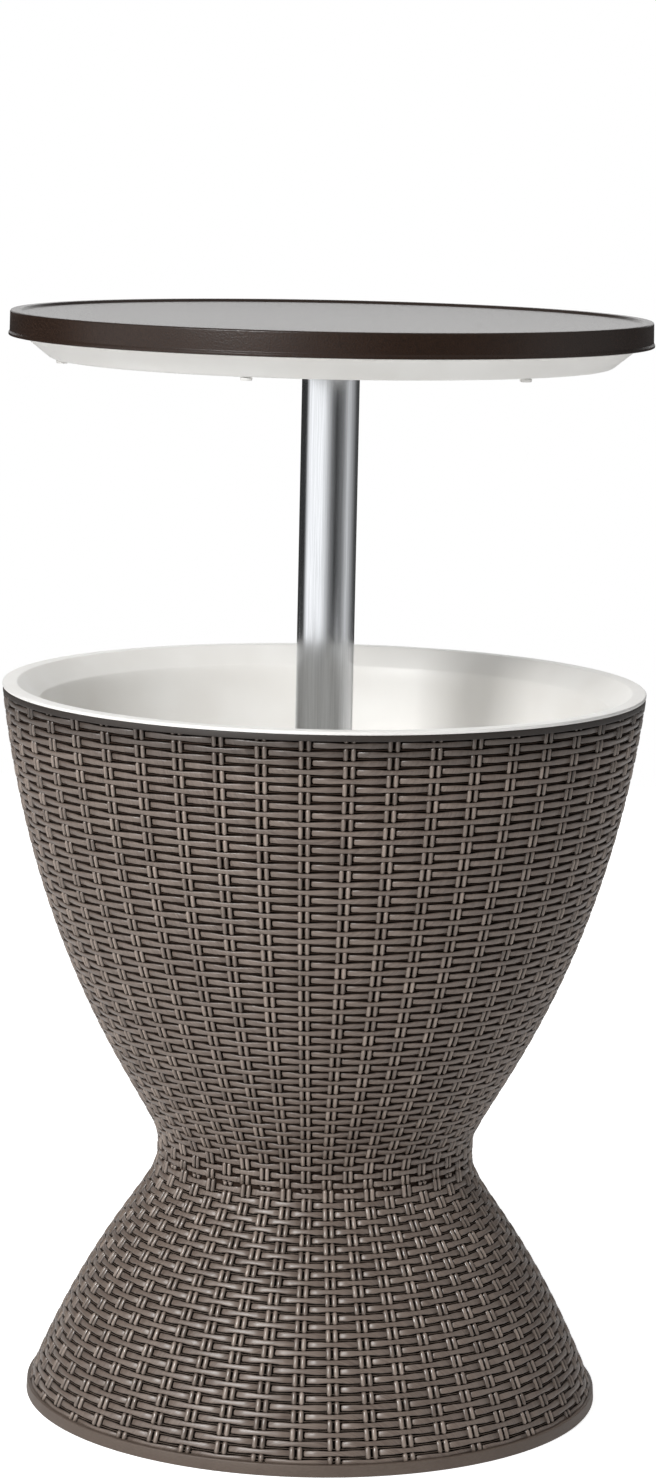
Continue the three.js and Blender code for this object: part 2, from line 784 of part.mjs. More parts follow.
// White pan under the top: a flange inside the skirt, a sloped side and a flat floor.
function lidPan() {
  const flangeOut = tableRadius - coverSkirtWall - coverFlare - fitGap;
  const flangeIn = flangeOut - panFlangeWidth;
  const slopeOut = tableRadius - panSlopeInset;
  const slopeIn = slopeOut - panSlopeRun;
  const slopeHigh = coverBottom - panStep;
  const slopeLow = slopeHigh - panSlopeDrop;
  const flatRadius = slopeIn - panCornerRun;
  const bore = mastRadius + mastRunningGap;
  const body = revolve([
    [flangeOut, coverBottom + fitGap],
    [flangeOut, coverBottom + fitGap + panWall],
    [slopeOut, coverBottom + fitGap + panWall],
    [slopeIn, slopeLow + panWall + fitGap],
    [flatRadius, panFloorTop],
    [bore, panFloorTop],
    [bore, panBottom],
    ...corner([flatRadius, panBottom], [slopeIn - panWall, panBottom], [slopeIn, slopeLow]),
    [slopeOut, slopeHigh],
    [flangeIn, slopeHigh + panStep / 3],
    [flangeIn, coverBottom + fitGap],
  ]);
  const shank = screwShankRadius + fitGap;
  const lidHole = bar(shank, panBottom - overrun, panFloorTop + overrun);
  const headBoss = bar(headBossRadius, panFloorTop - panWall / 2, panFloorTop + headBossHeight);
  const headHole = bar(shank, panFloorTop + screwShankRadius, panFloorTop + headBossHeight + overrun);
  return shaped(
    body,
    around(headBoss.translate(headScrewCircle, 0, 0), headScrewCount, 1 / 2),
    [
      ...around(lidHole.translate(lidScrewCircle, 0, 0), lidScrewCount, lidScrewTurnShare),
      ...around(headHole.translate(headScrewCircle, 0, 0), headScrewCount, 1 / 2),
    ],
  );
}

// A named piece with its own material.
function piece(name, geometry, finish) {
  const mesh = new THREE.Mesh(geometry, new THREE.MeshStandardMaterial(finish));
  mesh.name = name;
  return mesh;
}

// Screws named in order on a circle, with the undersides of their heads at one height.
function screwCircle(name, count, circle, turnShare, height, geometry, finish) {
  return Array.from({ length: count }, (_, i) => {
    const angle = ((i + turnShare) * 2 * Math.PI) / count;
    const mesh = piece(`${name}_${i + 1}`, geometry, finish);
    mesh.position.set(circle * Math.cos(angle), circle * Math.sin(angle), height);
    return mesh;
  });
}

const { wicker, top, white, mast, nylon, rubber, steel } = finishes;

// The stand stays on the floor.
const stand = new THREE.Group();
stand.add(
  piece("base_skirt", baseSkirt(), wicker),
  piece("bowl_shell", bowlShell(), wicker),
  piece("ice_bucket", iceBucket(), white),
  piece("waist_hub", waistHub(), nylon),
  piece("mast_guide", mastGuide(), mast),
  piece("guide_cap", guideCap(), nylon),
  piece("column_gasket", columnGasket(), rubber),
  piece("ring_nut", ringNut(), white),
);
const waistScrewSeat = seamHeight - flangeThickness - fitGap;
const waistScrewLength = hubRingTop + hubBossHeight / 2 - waistScrewSeat;
stand.add(...screwCircle("waist_screw", waistScrewCount, waistScrewCircle, 1 / 2, waistScrewSeat,
  screw(waistScrewLength), steel));

// The plug lifts out of the drain.
const plug = new THREE.Group();
plug.position.set(0, -drainCircle, 0);
plug.add(piece("drain_plug", drainPlug(), nylon), piece("drain_seal", drainSeal(), rubber));

// The lock bush slides with the mast and doesn't turn.
const carriage = new THREE.Group();
carriage.add(piece("lock_bush", lockBush(), nylon));

// The mast and the top slide with the bush and turn on it.
const camScrew = piece("cam_screw", screw(camScrewLength, camScrewRadius, camScrewHeadRadius,
  camScrewHeadHeight), steel);
camScrew.position.z = washerBottom - fitGap;
const raised = new THREE.Group();
raised.add(
  piece("mast_tube", mastTube(), mast),
  piece("lock_cam", lockCam(), nylon),
  piece("cam_washer", camWasher(), steel),
  camScrew,
  piece("cam_pin", crossBar(camPinRadius, mastRadius - pinSetback, mastBottom + camPinRise), steel),
  piece("mast_head", mastHead(), nylon),
  piece("head_pin", crossBar(headPinRadius, headOutside - pinSetback, headPinHeight), steel),
  piece("tabletop_cover", tabletopCover(), top),
  piece("lid_pan", lidPan(), white),
);
raised.add(...screwCircle("head_screw", headScrewCount, headScrewCircle, 1 / 2,
  headFlangeTop + fitGap, screw(headScrewLength).rotateX(Math.PI), steel));
raised.add(...screwCircle("lid_screw", lidScrewCount, lidScrewCircle, lidScrewTurnShare,
  panBottom - fitGap, screw(panWall + lidScrewGrip), white));

const iceBucketTable = new THREE.Group();
iceBucketTable.add(stand, plug, carriage, raised);

export default iceBucketTable;
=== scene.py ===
# %% [markdown]
# # An ice bucket side table
# The table is an hourglass of moulded plastic that looks woven. A white bucket sits in its upper
# half, and a round top stands on a metal mast that slides down to close the bucket. The packed
# model gives every piece its exact size and place. This lesson dresses it: turned pieces are drawn
# again with soft edges, the weave is made strand by strand, and each material is mixed from nodes.

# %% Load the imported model
import math

import bmesh
import bpy
from mathutils import Matrix, Vector


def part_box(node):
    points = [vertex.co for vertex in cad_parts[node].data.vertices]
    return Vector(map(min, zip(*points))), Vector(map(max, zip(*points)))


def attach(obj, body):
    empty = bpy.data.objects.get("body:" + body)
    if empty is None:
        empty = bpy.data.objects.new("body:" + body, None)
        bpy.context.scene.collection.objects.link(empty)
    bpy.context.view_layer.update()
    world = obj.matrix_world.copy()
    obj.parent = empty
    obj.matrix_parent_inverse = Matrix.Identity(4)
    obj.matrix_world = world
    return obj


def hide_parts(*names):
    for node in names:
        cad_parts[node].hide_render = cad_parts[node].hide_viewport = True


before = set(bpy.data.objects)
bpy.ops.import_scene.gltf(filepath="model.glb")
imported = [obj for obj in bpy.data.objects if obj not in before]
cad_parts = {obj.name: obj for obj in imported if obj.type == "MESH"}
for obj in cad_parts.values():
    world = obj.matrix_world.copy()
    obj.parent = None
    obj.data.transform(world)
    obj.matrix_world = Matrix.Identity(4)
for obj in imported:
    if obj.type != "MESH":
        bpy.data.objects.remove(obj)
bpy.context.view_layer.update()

MM = 0.001
print("nodes:", len(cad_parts))

# %% [markdown]
# ## The camera
# The photograph was taken from about three metres away, a little above the top, with a long lens.
# A camera is a point, a direction and a focal length. Its axes are built here from three small
# angles: yaw to the side, pitch downwards, and roll about the line of sight.

# %% Place the camera
CAMERA_DISTANCE = 3.208
CAMERA_HEIGHT = 1.0014
CAMERA_YAW, CAMERA_PITCH, CAMERA_ROLL = 0.0011, 0.1502, 0.0211
FOCAL_PIXELS = 4211.5
PICTURE_HEIGHT = 1480


def linked(name, data):
    """A new object in the scene, with the given data."""
    made = bpy.data.objects.new(name, data)
    bpy.context.scene.collection.objects.link(made)
    return made


def place_camera():
    forward = Vector((math.sin(CAMERA_YAW) * math.cos(CAMERA_PITCH),
                      math.cos(CAMERA_YAW) * math.cos(CAMERA_PITCH),
                      -math.sin(CAMERA_PITCH)))
    level = Vector((math.cos(CAMERA_YAW), -math.sin(CAMERA_YAW), 0))
    upright = level.cross(forward)
    right = math.cos(CAMERA_ROLL) * level + math.sin(CAMERA_ROLL) * upright
    up = -math.sin(CAMERA_ROLL) * level + math.cos(CAMERA_ROLL) * upright
    data = bpy.data.cameras.new("photo_camera")
    data.sensor_width = 36
    data.lens = FOCAL_PIXELS * data.sensor_width / PICTURE_HEIGHT
    camera = linked("photo_camera", data)
    axes = Matrix((right, up, -forward)).transposed().to_4x4()
    camera.matrix_world = Matrix.Translation((0, -CAMERA_DISTANCE, CAMERA_HEIGHT)) @ axes
    bpy.context.scene.camera = camera
    return camera


camera = place_camera()
print(f"lens {camera.data.lens:.1f} mm")

# %% [markdown]
# ## Working with nodes
# Materials, the light of the world and the weave are all trees of nodes. Wiring them by hand takes
# many lines, so one class adds a node and fills its inputs in a single call. What comes out of a
# node can be a term: it takes the usual signs, and each sign adds one Math node to the tree.


# %% Helpers for every tree
class Term:
    """A value inside a tree, ready to be reckoned with."""

    def __init__(self, graph, socket):
        self.graph, self.socket = graph, socket

    def __add__(self, other):
        return self.graph.maths("ADD", self, other)

    def __sub__(self, other):
        return self.graph.maths("SUBTRACT", self, other)

    def __mul__(self, other):
        return self.graph.maths("MULTIPLY", self, other)

    def __truediv__(self, other):
        return self.graph.maths("DIVIDE", self, other)

    def __rtruediv__(self, other):
        return self.graph.maths("DIVIDE", other, self)

    def __floordiv__(self, other):
        return self.graph.maths("FLOOR", self / other)

    def __mod__(self, other):
        return self.graph.maths("FLOORED_MODULO", self, other)

    def __neg__(self):
        return self * -1.0


class Graph:
    """A node tree under construction. Inputs are numbers, colours, output sockets or terms."""

    def __init__(self, tree):
        self.tree = tree

    def feed(self, socket, value):
        if isinstance(value, Term):
            value = value.socket
        if isinstance(value, bpy.types.NodeSocket):
            self.tree.links.new(value, socket)
        else:
            socket.default_value = value

    def add(self, kind, inputs=None, **settings):
        node = self.tree.nodes.new(kind)
        for key, value in settings.items():
            setattr(node, key, value)
        for key, value in (inputs or {}).items():
            self.feed(node.inputs[key], value)
        return node

    def maths(self, operation, *values):
        node = self.add("ShaderNodeMath", dict(enumerate(values)), operation=operation)
        return Term(self, node.outputs["Value"])

    def span(self, value, low, high, from_low=0.3, from_high=0.7):
        """A value moved to run from low to high. Noise mostly lies between 0.3 and 0.7."""
        limits = {"From Min": from_low, "From Max": from_high, "To Min": low, "To Max": high}
        node = self.add("ShaderNodeMapRange", {"Value": value, **limits})
        return Term(self, node.outputs["Result"])

    def parts(self, vector):
        """The three terms of a vector."""
        return [Term(self, part) for part in self.add("ShaderNodeSeparateXYZ", {0: vector}).outputs]


def linear(red, green, blue):
    """A colour given as it looks on a screen, 0 to 255, as the linear light that nodes work with."""
    def channel(value):
        share = value / 255
        return share / 12.92 if share <= 0.04045 else ((share + 0.055) / 1.055) ** 2.4
    return (channel(red), channel(green), channel(blue), 1.0)


class Finish(Graph):
    """A material under construction."""

    def __init__(self, name):
        self.material = bpy.data.materials.new(name)
        self.material.use_nodes = True
        super().__init__(self.material.node_tree)
        self.shader = self.tree.nodes["Principled BSDF"]

    def place(self, stretch=(1, 1, 1)):
        """Coordinates on the object itself, in metres, stretched along each axis."""
        coordinates = self.add("ShaderNodeTexCoord").outputs["Object"]
        return self.add("ShaderNodeMapping", {"Vector": coordinates, "Scale": stretch}).outputs["Vector"]

    def noise(self, where, scale, detail=3.0, roughness=0.55):
        inputs = {"Vector": where, "Scale": scale, "Detail": detail, "Roughness": roughness}
        return self.add("ShaderNodeTexNoise", inputs).outputs["Fac"]

    def blend(self, share, first, second):
        inputs = {"Factor": share, "A": first, "B": second}
        return self.add("ShaderNodeMix", inputs, data_type="RGBA").outputs["Result"]

    def bump(self, height, depth, strength):
        inputs = {"Height": height, "Distance": depth, "Strength": strength}
        return self.add("ShaderNodeBump", inputs).outputs["Normal"]

    def set(self, **values):
        for key, value in values.items():
            self.feed(self.shader.inputs[key.replace("_", " ")], value)
        return self.material


def grained(name, scale, dark, pale, rough, bump=None, stretch=(1, 1, 1), **values):
    """A plain finish whose tone, roughness and bumps all follow one fine grain."""
    finish = Finish(name)
    grain = finish.noise(finish.place(stretch), scale)
    if bump:
        values["Normal"] = finish.bump(grain, *bump)
    return finish.set(
        Base_Color=finish.blend(finish.span(grain, 0, 1), linear(*dark), linear(*pale)),
        Roughness=finish.span(grain, *rough),
        **values,
    )


print("helpers ready")

# %% [markdown]
# ## The wicker plastic
# Moulded wicker is one grey brown plastic, but it never looks flat: every strand has fine lines
# along its length, its tone differs a little from the next, and its flanks are painted darker than
# its crest, as painted shade. The strands carry three values of their own: a place along the strand,
# so that the lines follow each strand wherever it goes, a random tone, and how near its crest a point
# lies, which places that painted shade. The stakes stand proudest and are painted palest, as a painted
# highlight, so their tone starts where the strands' ends. Deep between the strands the backing is
# painted almost black, as painted shade, and has almost no sheen. The rim that lies on the bowl keeps
# the first few rows under it in the shade, so their colour is painted darker with height.

# %% Wicker strands, plain bands and what lies behind them
# Painted shade: between these heights the wicker's colour is darkened towards the bucket's rim.
RIM_SHADE_FROM, RIM_SHADE_TO = 522 * MM, 552 * MM
RIM_SHADE = linear(20, 13, 9)


def painted_shade_under_rim(finish, colour, share):
    """The colour, with painted shade darkening it towards the bucket's rim, until the given share of it is
    shade.
    """
    height = finish.parts(finish.place())[2]
    return finish.blend(finish.span(height, 0, share, RIM_SHADE_FROM, RIM_SHADE_TO), colour, RIM_SHADE)


def wicker_strand():
    finish = Finish("wicker_strand")

    def carried(name, output="Fac"):
        return finish.add("ShaderNodeAttribute", attribute_name=name).outputs[output]

    tone = carried("strand_tone")
    along = {"Vector": carried("strand_place", "Vector"), "Scale": (0.09, 1.0, 1.0)}
    fibres = finish.noise(finish.add("ShaderNodeMapping", along).outputs["Vector"], 2600, 4, 0.6)
    clouds = finish.noise(finish.place(), 42, detail=2)
    lying = finish.blend(finish.span(tone, 0, 1, 0, 1), linear(83, 70, 62), linear(101, 88, 79))
    # Painted highlight: the stakes, whose tone runs from 1 to 2, are coloured paler than the strands.
    base = finish.blend(finish.span(tone, 0, 1, 1, 2), lying, linear(168, 152, 140))
    fine = finish.blend(finish.span(fibres, 0, 0.5), base, linear(152, 137, 126))
    cloudy = finish.blend(finish.span(clouds, 0, 0.25), fine, linear(70, 56, 48))
    # Painted shade: the strand's colour falls to near black on its flanks, away from its crest.
    painted_flank_shade = finish.span(carried("strand_crest"), 0.9, 0, 0.45, 0.97)
    polish = finish.span(tone, 0, 0.1, 0.9, 1.1)
    return finish.set(
        Base_Color=painted_shade_under_rim(finish, finish.blend(painted_flank_shade, cloudy, linear(16, 11, 8)), 0.7),
        Roughness=finish.span(fibres, 0.32, 0.46) - polish,
        Specular_IOR_Level=0.65,
        Normal=finish.bump(fibres, 0.00024, 0.5),
    )


def wicker_band():
    finish = Finish("wicker_band")
    grain = finish.noise(finish.place((1, 1, 6)), 420, detail=4)
    clouds = finish.noise(finish.place(), 35, detail=2)
    base = finish.blend(finish.span(grain, 0, 1), linear(82, 70, 62), linear(101, 88, 78))
    cloudy = finish.blend(finish.span(clouds, 0, 0.3), base, linear(74, 61, 53))
    return finish.set(
        # Painted shade darkens the band towards the bucket's rim.
        Base_Color=painted_shade_under_rim(finish, cloudy, 0.88),
        Roughness=finish.span(grain, 0.45, 0.6),
        Normal=finish.bump(grain, 0.0002, 0.5),
    )


def wicker_deep(name, dark, pale, sheen):
    return grained(name, 260, dark, pale, (0.65, 0.8), (0.0003, 0.4), (1, 1, 4), Specular_IOR_Level=sheen)


strand_finish = wicker_strand()
band_finish = wicker_band()
# Painted shade: the backing is coloured almost black where only shade falls between the strands.
backing_painted_shade_finish = wicker_deep("wicker_backing", (10, 7, 5), (17, 12, 9), 0.03)
# Painted shade: the bowl's ridges and the seam's edges are coloured dark where the strand above shades
# them.
ridge_painted_shade_finish = wicker_deep("wicker_dark_ridge", (34, 25, 20), (56, 44, 37), 0.05)
pale_ridge_finish = wicker_deep("wicker_pale_ridge", (84, 72, 63), (110, 96, 86), 0.3)
print("wicker:", [material.name for material in bpy.data.materials if "wicker_" in material.name])

# %% [markdown]
# ## White plastic, the brown top and metal
# The white bucket is a smooth moulding with the faintest waviness. The brown top has a leather
# grain: small rounded cells with shallow valleys between them, which a Voronoi pattern gives. The
# mast is drawn aluminium, so its scratches all run along it. What sits inside is simpler, and one
# grain does for its tone, roughness and bumps.


# %% The other finishes
def white_plastic():
    finish = Finish("white_plastic")
    waves = finish.noise(finish.place(), 14, detail=2)
    specks = finish.noise(finish.place(), 900, detail=2)
    return finish.set(
        Base_Color=finish.blend(finish.span(waves, 0, 1), linear(236, 234, 230), linear(243, 242, 239)),
        Roughness=finish.span(specks, 0.36, 0.46),
        Specular_IOR_Level=0.35,
        Normal=finish.bump(specks, 0.00004, 0.35),
    )


def leather_brown():
    finish = Finish("top_brown")
    dark, pale = linear(31, 20, 14), linear(48, 34, 26)
    where = finish.place()
    cells = finish.add("ShaderNodeTexVoronoi", {"Vector": where, "Scale": 800.0}, feature="SMOOTH_F1")
    pebbles = finish.noise(where, 1400)
    mixed = finish.span(pebbles, -0.1, 0.1) + cells.outputs["Distance"]
    base = finish.blend(finish.span(mixed, 0, 1, 0.1, 0.75), pale, dark)
    return finish.set(
        Base_Color=finish.blend(finish.span(finish.noise(where, 30), 0, 0.25), base, dark),
        Roughness=finish.span(mixed, 0.24, 0.36, 0.1, 0.7),
        Specular_IOR_Level=0.24,
        Normal=finish.bump(mixed, 0.0002, 0.55),
    )


def drawn_aluminium():
    finish = Finish("drawn_aluminium")
    scratches = finish.noise(finish.place((1, 1, 0.012)), 1500, detail=4)
    smears = finish.noise(finish.place((1, 1, 0.3)), 22, detail=2)
    return finish.set(
        Base_Color=finish.blend(finish.span(scratches, 0, 1), linear(186, 188, 191), linear(206, 208, 211)),
        Metallic=1.0,
        Roughness=finish.span(smears, 0.12, 0.17),
        Normal=finish.bump(scratches, 0.00002, 0.25),
    )


white_finish = white_plastic()
side_finish = leather_brown()
mast_finish = drawn_aluminium()
nylon_finish = grained("black_nylon", 700, (38, 38, 40), (52, 52, 54), (0.5, 0.68), (0.0001, 0.4))
rubber_finish = grained("black_rubber", 500, (26, 26, 27), (36, 36, 37), (0.82, 0.95), (0.00012, 0.5))
steel_finish = grained("stainless_steel", 1100, (168, 170, 173), (190, 192, 195), (0.28, 0.4), Metallic=1.0)
print("finishes:", len(bpy.data.materials))

# %% [markdown]
# ## Turned pieces
# Most of this table is round, so most pieces can be turned: half of a cross-section is drawn as
# points of radius and height, and swept about the middle line. What makes them look moulded is that
# no edge is sharp, so each corner of the section can be given a radius of its own, which is drawn as
# a small arc.

# %% Draw a section and turn it
SHARP_ANGLE = math.radians(40)


def rounded(points, steps):
    """Points of radius and height. A third number rounds that corner with an arc of that radius,
    and a fourth gives the material slot of the faces that meet there."""
    drawn, marks = [], []
    count = len(points)
    for i, point in enumerate(points):
        here = Vector(point[:2])
        radius = point[2] if len(point) > 2 else 0
        mark = point[3] if len(point) > 3 else 0
        if not radius:
            drawn.append(here)
            marks.append(mark)
            continue
        back = Vector(points[i - 1][:2]) - here
        ahead = Vector(points[(i + 1) % count][:2]) - here
        half = back.angle(ahead) / 2
        reach = min(radius / math.tan(half), back.length * 0.48, ahead.length * 0.48)
        first = here + back.normalized() * reach
        last = here + ahead.normalized() * reach
        for k in range(steps + 1):
            share = k / steps
            drawn.append((1 - share) ** 2 * first + 2 * share * (1 - share) * here + share ** 2 * last)
            marks.append(mark)
    return drawn, marks


def soften(mesh):
    mesh.shade_smooth()
    mesh.set_sharp_from_angle(angle=SHARP_ANGLE)


def turned(name, points, materials, segments=160, steps=3):
    """A closed section turned about the middle line, in metres, with its faces outwards."""
    section, marks = rounded(points, steps)
    area = sum(a.x * b.y - b.x * a.y for a, b in zip(section, section[1:] + section[:1]))
    if area < 0:
        section.reverse()
        marks.reverse()
    on_axis = [abs(p.x) < 1e-7 for p in section]
    vertices, rings = [], []
    for point, centre in zip(section, on_axis):
        start = len(vertices)
        if centre:
            vertices.append((0, 0, point.y))
            rings.append([start] * segments)
        else:
            for i in range(segments):
                angle = 2 * math.pi * i / segments
                vertices.append((point.x * math.sin(angle), -point.x * math.cos(angle), point.y))
            rings.append(list(range(start, start + segments)))
    faces, slots = [], []
    for a in range(len(section)):
        b = (a + 1) % len(section)
        if on_axis[a] and on_axis[b]:
            continue
        for i in range(segments):
            j = (i + 1) % segments
            face = [rings[a][i], rings[a][j], rings[b][j], rings[b][i]]
            faces.append(list(dict.fromkeys(face)))
            slots.append(max(marks[a], marks[b]))
    mesh = bpy.data.meshes.new(name)
    mesh.from_pydata(vertices, [], faces)
    for material in materials:
        mesh.materials.append(material)
    for polygon, slot in zip(mesh.polygons, slots):
        polygon.material_index = slot
    soften(mesh)
    return linked(name, mesh)


def fit(piece, body, slot, *nodes):
    """Says which body a piece moves with and which nodes it stands for. The slot is not used."""
    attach(piece, body)
    if nodes:
        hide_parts(*nodes)
    print(f"{piece.name}: {len(piece.data.polygons)} faces, on {body}")
    return piece


# %% [markdown]
# ## The hourglass
# Seen from the side, the foot and the bowl are two free curves that meet in a short straight neck.
# A cubic Bezier curve gives each: two end points, and two handles that say how the curve leaves and
# arrives. The same curves guide the plastic shells here and the strands later, so they are kept as
# functions that also give a curve moved inwards by a wall.

# %% The curves of the foot and the bowl
BAND_RADIUS = 223.4 * MM
BAND_HEIGHT = 9.5 * MM
FOOT_RADIUS = 220.6 * MM
SEAM = 191.5 * MM
SEAM_GAP = 0.3 * MM
NECK = 12 * MM
WAIST_RADIUS = 123.3 * MM
BOWL_RADIUS = 246.6 * MM
BOWL_TOP = 556.4 * MM
BOWL_BAND = 551.2 * MM
CREST = 3.0 * MM
# Handles as shares of the curve's height, and how far the outer one leans in for its length
FOOT_HANDLE, FOOT_LEAN, FOOT_WAIST_HANDLE = 0.705, 0.411, 0.158
BOWL_HANDLE, BOWL_LEAN, BOWL_NECK_HANDLE = 0.649, 0.123, 0.072


def bezier(corners, steps):
    a, b, c, d = (Vector(corner) for corner in corners)
    points = []
    for i in range(steps + 1):
        t = i / steps
        points.append(a * (1 - t) ** 3 + b * 3 * t * (1 - t) ** 2 + c * 3 * t * t * (1 - t) + d * t ** 3)
    return points


def skirt_curve(steps=48):
    """The crest of the foot's weave, from the waist down to the band on the floor."""
    height = SEAM - BAND_HEIGHT
    handle = height * FOOT_HANDLE
    return bezier([(WAIST_RADIUS, SEAM), (WAIST_RADIUS, SEAM - height * FOOT_WAIST_HANDLE),
                   (FOOT_RADIUS - handle * FOOT_LEAN, BAND_HEIGHT + handle), (FOOT_RADIUS, BAND_HEIGHT)],
                  steps)


def bowl_curve(steps=64):
    """The crest of the bowl's weave, from the band under the rim down to the seam."""
    neck = SEAM + SEAM_GAP + NECK
    height = BOWL_BAND - neck
    handle = height * BOWL_HANDLE
    curve = bezier([(BOWL_RADIUS, BOWL_BAND), (BOWL_RADIUS - handle * BOWL_LEAN, BOWL_BAND - handle),
                    (WAIST_RADIUS, neck + height * BOWL_NECK_HANDLE), (WAIST_RADIUS, neck)], steps)
    return curve + [Vector((WAIST_RADIUS, SEAM + SEAM_GAP))]


def moved_in(curve, distance):
    """A falling curve moved towards the middle line, square to itself."""
    moved = []
    for i, point in enumerate(curve):
        along = (curve[min(i + 1, len(curve) - 1)] - curve[max(i - 1, 0)]).normalized()
        moved.append(point + Vector((along.y, -along.x)) * distance)
    return moved


def length_of(curve):
    return sum((b - a).length for a, b in zip(curve, curve[1:]))


def place_on(curve, length):
    """A point on a curve at a length from its start, and the inward direction there."""
    for a, b in zip(curve, curve[1:]):
        step = (b - a).length
        along = (b - a) / step
        if length <= step:
            break
        length -= step
    return a + along * length, Vector((along.y, -along.x))


print(f"skirt {length_of(skirt_curve()) / MM:.1f} mm, bowl {length_of(bowl_curve()) / MM:.1f} mm")

# %% [markdown]
# The shells behind the weave are turned from those curves, moved in by the height of the weave.
# Each keeps a plain band where the real one has it: on the floor, and under the bucket's rim. The
# backing is painted almost black, as painted shade, because little light reaches it. A low ridge runs
# round in each gap between two rows, which is where the real moulding hints at strands further back.
# On the foot, which faces upwards, these ridges keep a pale tone and show as thin pale lines; on the
# bowl they are painted dark, as painted shade from the strand above. At the seam between the two
# shells no strand lies in front, so their edges take the painted shade of the bowl's ridges.

# %% Foot shell and bowl shell
BOWL_ROWS, BOWL_FIRST, BOWL_PITCH = 58, 7.8 * MM, 6.642 * MM
SKIRT_ROWS, SKIRT_FIRST, SKIRT_PITCH = 32, 4.8 * MM, 6.72 * MM
RIDGE_HEIGHT, BOWL_RIDGE, SKIRT_RIDGE, RIDGE_FLANK = 1.2 * MM, 0.3 * MM, 0.16 * MM, 0.12 * MM
SHELL_DEPTH = 4.6 * MM
BAND_WALL = 6 * MM
FLANGE_RADIUS, FLANGE, FLANGE_EDGE = 96 * MM, 4 * MM, 0.4 * MM
BAND, RIDGE, SEAM_FACE = 1, 2, 3


def ridged(curve, first, pitch, rows, half):
    """The backing's outside from the top down, with a low ridge in each gap between two rows."""
    foot = half + RIDGE_FLANK
    points = []
    for row in range(rows - 1):
        middle = first + (row + 0.5) * pitch
        for offset, height, mark in ((-foot, 0, 0), (-half, RIDGE_HEIGHT, RIDGE),
                                     (half, RIDGE_HEIGHT, RIDGE), (foot, 0, 0)):
            point, inward = place_on(curve, middle + offset)
            point = point + inward * (CREST - height)
            points.append((point.x, point.y, 0, mark))
    return points


def foot_shell():
    outside = ridged(skirt_curve(96), SKIRT_FIRST, SKIRT_PITCH, SKIRT_ROWS, SKIRT_RIDGE)
    inside = moved_in(skirt_curve(24), SHELL_DEPTH)
    foot = moved_in(skirt_curve(), CREST)[-1]
    band_top = BAND_HEIGHT - 0.4 * MM
    section = [(BAND_RADIUS - BAND_WALL, 0.0, 1 * MM, BAND), (BAND_RADIUS - 0.3 * MM, 0.0, 0.8 * MM, BAND),
               (BAND_RADIUS - 0.9 * MM, band_top, 0.9 * MM, BAND), (foot.x + 0.6 * MM, band_top)]
    section += [point for point in reversed(outside) if point[1] > BAND_HEIGHT]
    section += [(WAIST_RADIUS - CREST, SEAM, 0, SEAM_FACE), (FLANGE_RADIUS, SEAM, FLANGE_EDGE, BAND),
                (FLANGE_RADIUS, SEAM - FLANGE, FLANGE_EDGE, BAND)]
    section += [(p.x, p.y, 0, BAND) for p in inside if p.y < SEAM - FLANGE][:-1]
    finishes = [backing_painted_shade_finish, band_finish, pale_ridge_finish, ridge_painted_shade_finish]
    return turned("foot_shell", section, finishes, 192)


def bowl_body():
    path = [Vector((BOWL_RADIUS, BOWL_TOP))] + bowl_curve(128)
    outside = ridged(path, BOWL_FIRST, BOWL_PITCH, BOWL_ROWS, BOWL_RIDGE)
    inside = moved_in(bowl_curve(32), SHELL_DEPTH)
    band_foot = BOWL_BAND + 0.6 * MM
    lowest = SEAM + SEAM_GAP
    section = [(BOWL_RADIUS - 5 * MM, BOWL_TOP, 0.5 * MM), (BOWL_RADIUS, BOWL_TOP, 0.5 * MM, BAND),
               (BOWL_RADIUS, band_foot, 0.8 * MM, BAND), (BOWL_RADIUS - CREST, band_foot)]
    section += [point for point in outside if lowest < point[1] < BOWL_BAND]
    section += [(WAIST_RADIUS - CREST, lowest, 0, RIDGE), (FLANGE_RADIUS, lowest, FLANGE_EDGE, BAND),
                (FLANGE_RADIUS, lowest + FLANGE, FLANGE_EDGE, BAND)]
    section += [(p.x, p.y, 0, BAND) for p in reversed(inside) if p.y > SEAM + 5 * MM]
    return turned("bowl_body", section, [backing_painted_shade_finish, band_finish, ridge_painted_shade_finish], 192)


fit(foot_shell(), "base", "wicker", "base_skirt")
fit(bowl_body(), "base", "wicker", "bowl_shell")

# %% [markdown]
# ## The weave
# The weave is a rule: pairs of upright stakes, and strands that pass over one pair, under the next,
# and so on, with each row one pair further round. Modelling thousands of strands by hand is out of
# the question, and a flat pattern would have no depth. So one strand is drawn as a small mesh in its
# own flat space, and a Geometry Nodes tree copies it for every crossing and wraps each copy on to
# the curve of the shell. A second tree does the same for the stakes.
#
# A geometry tree has named inputs, and its last step sets the material it was given.


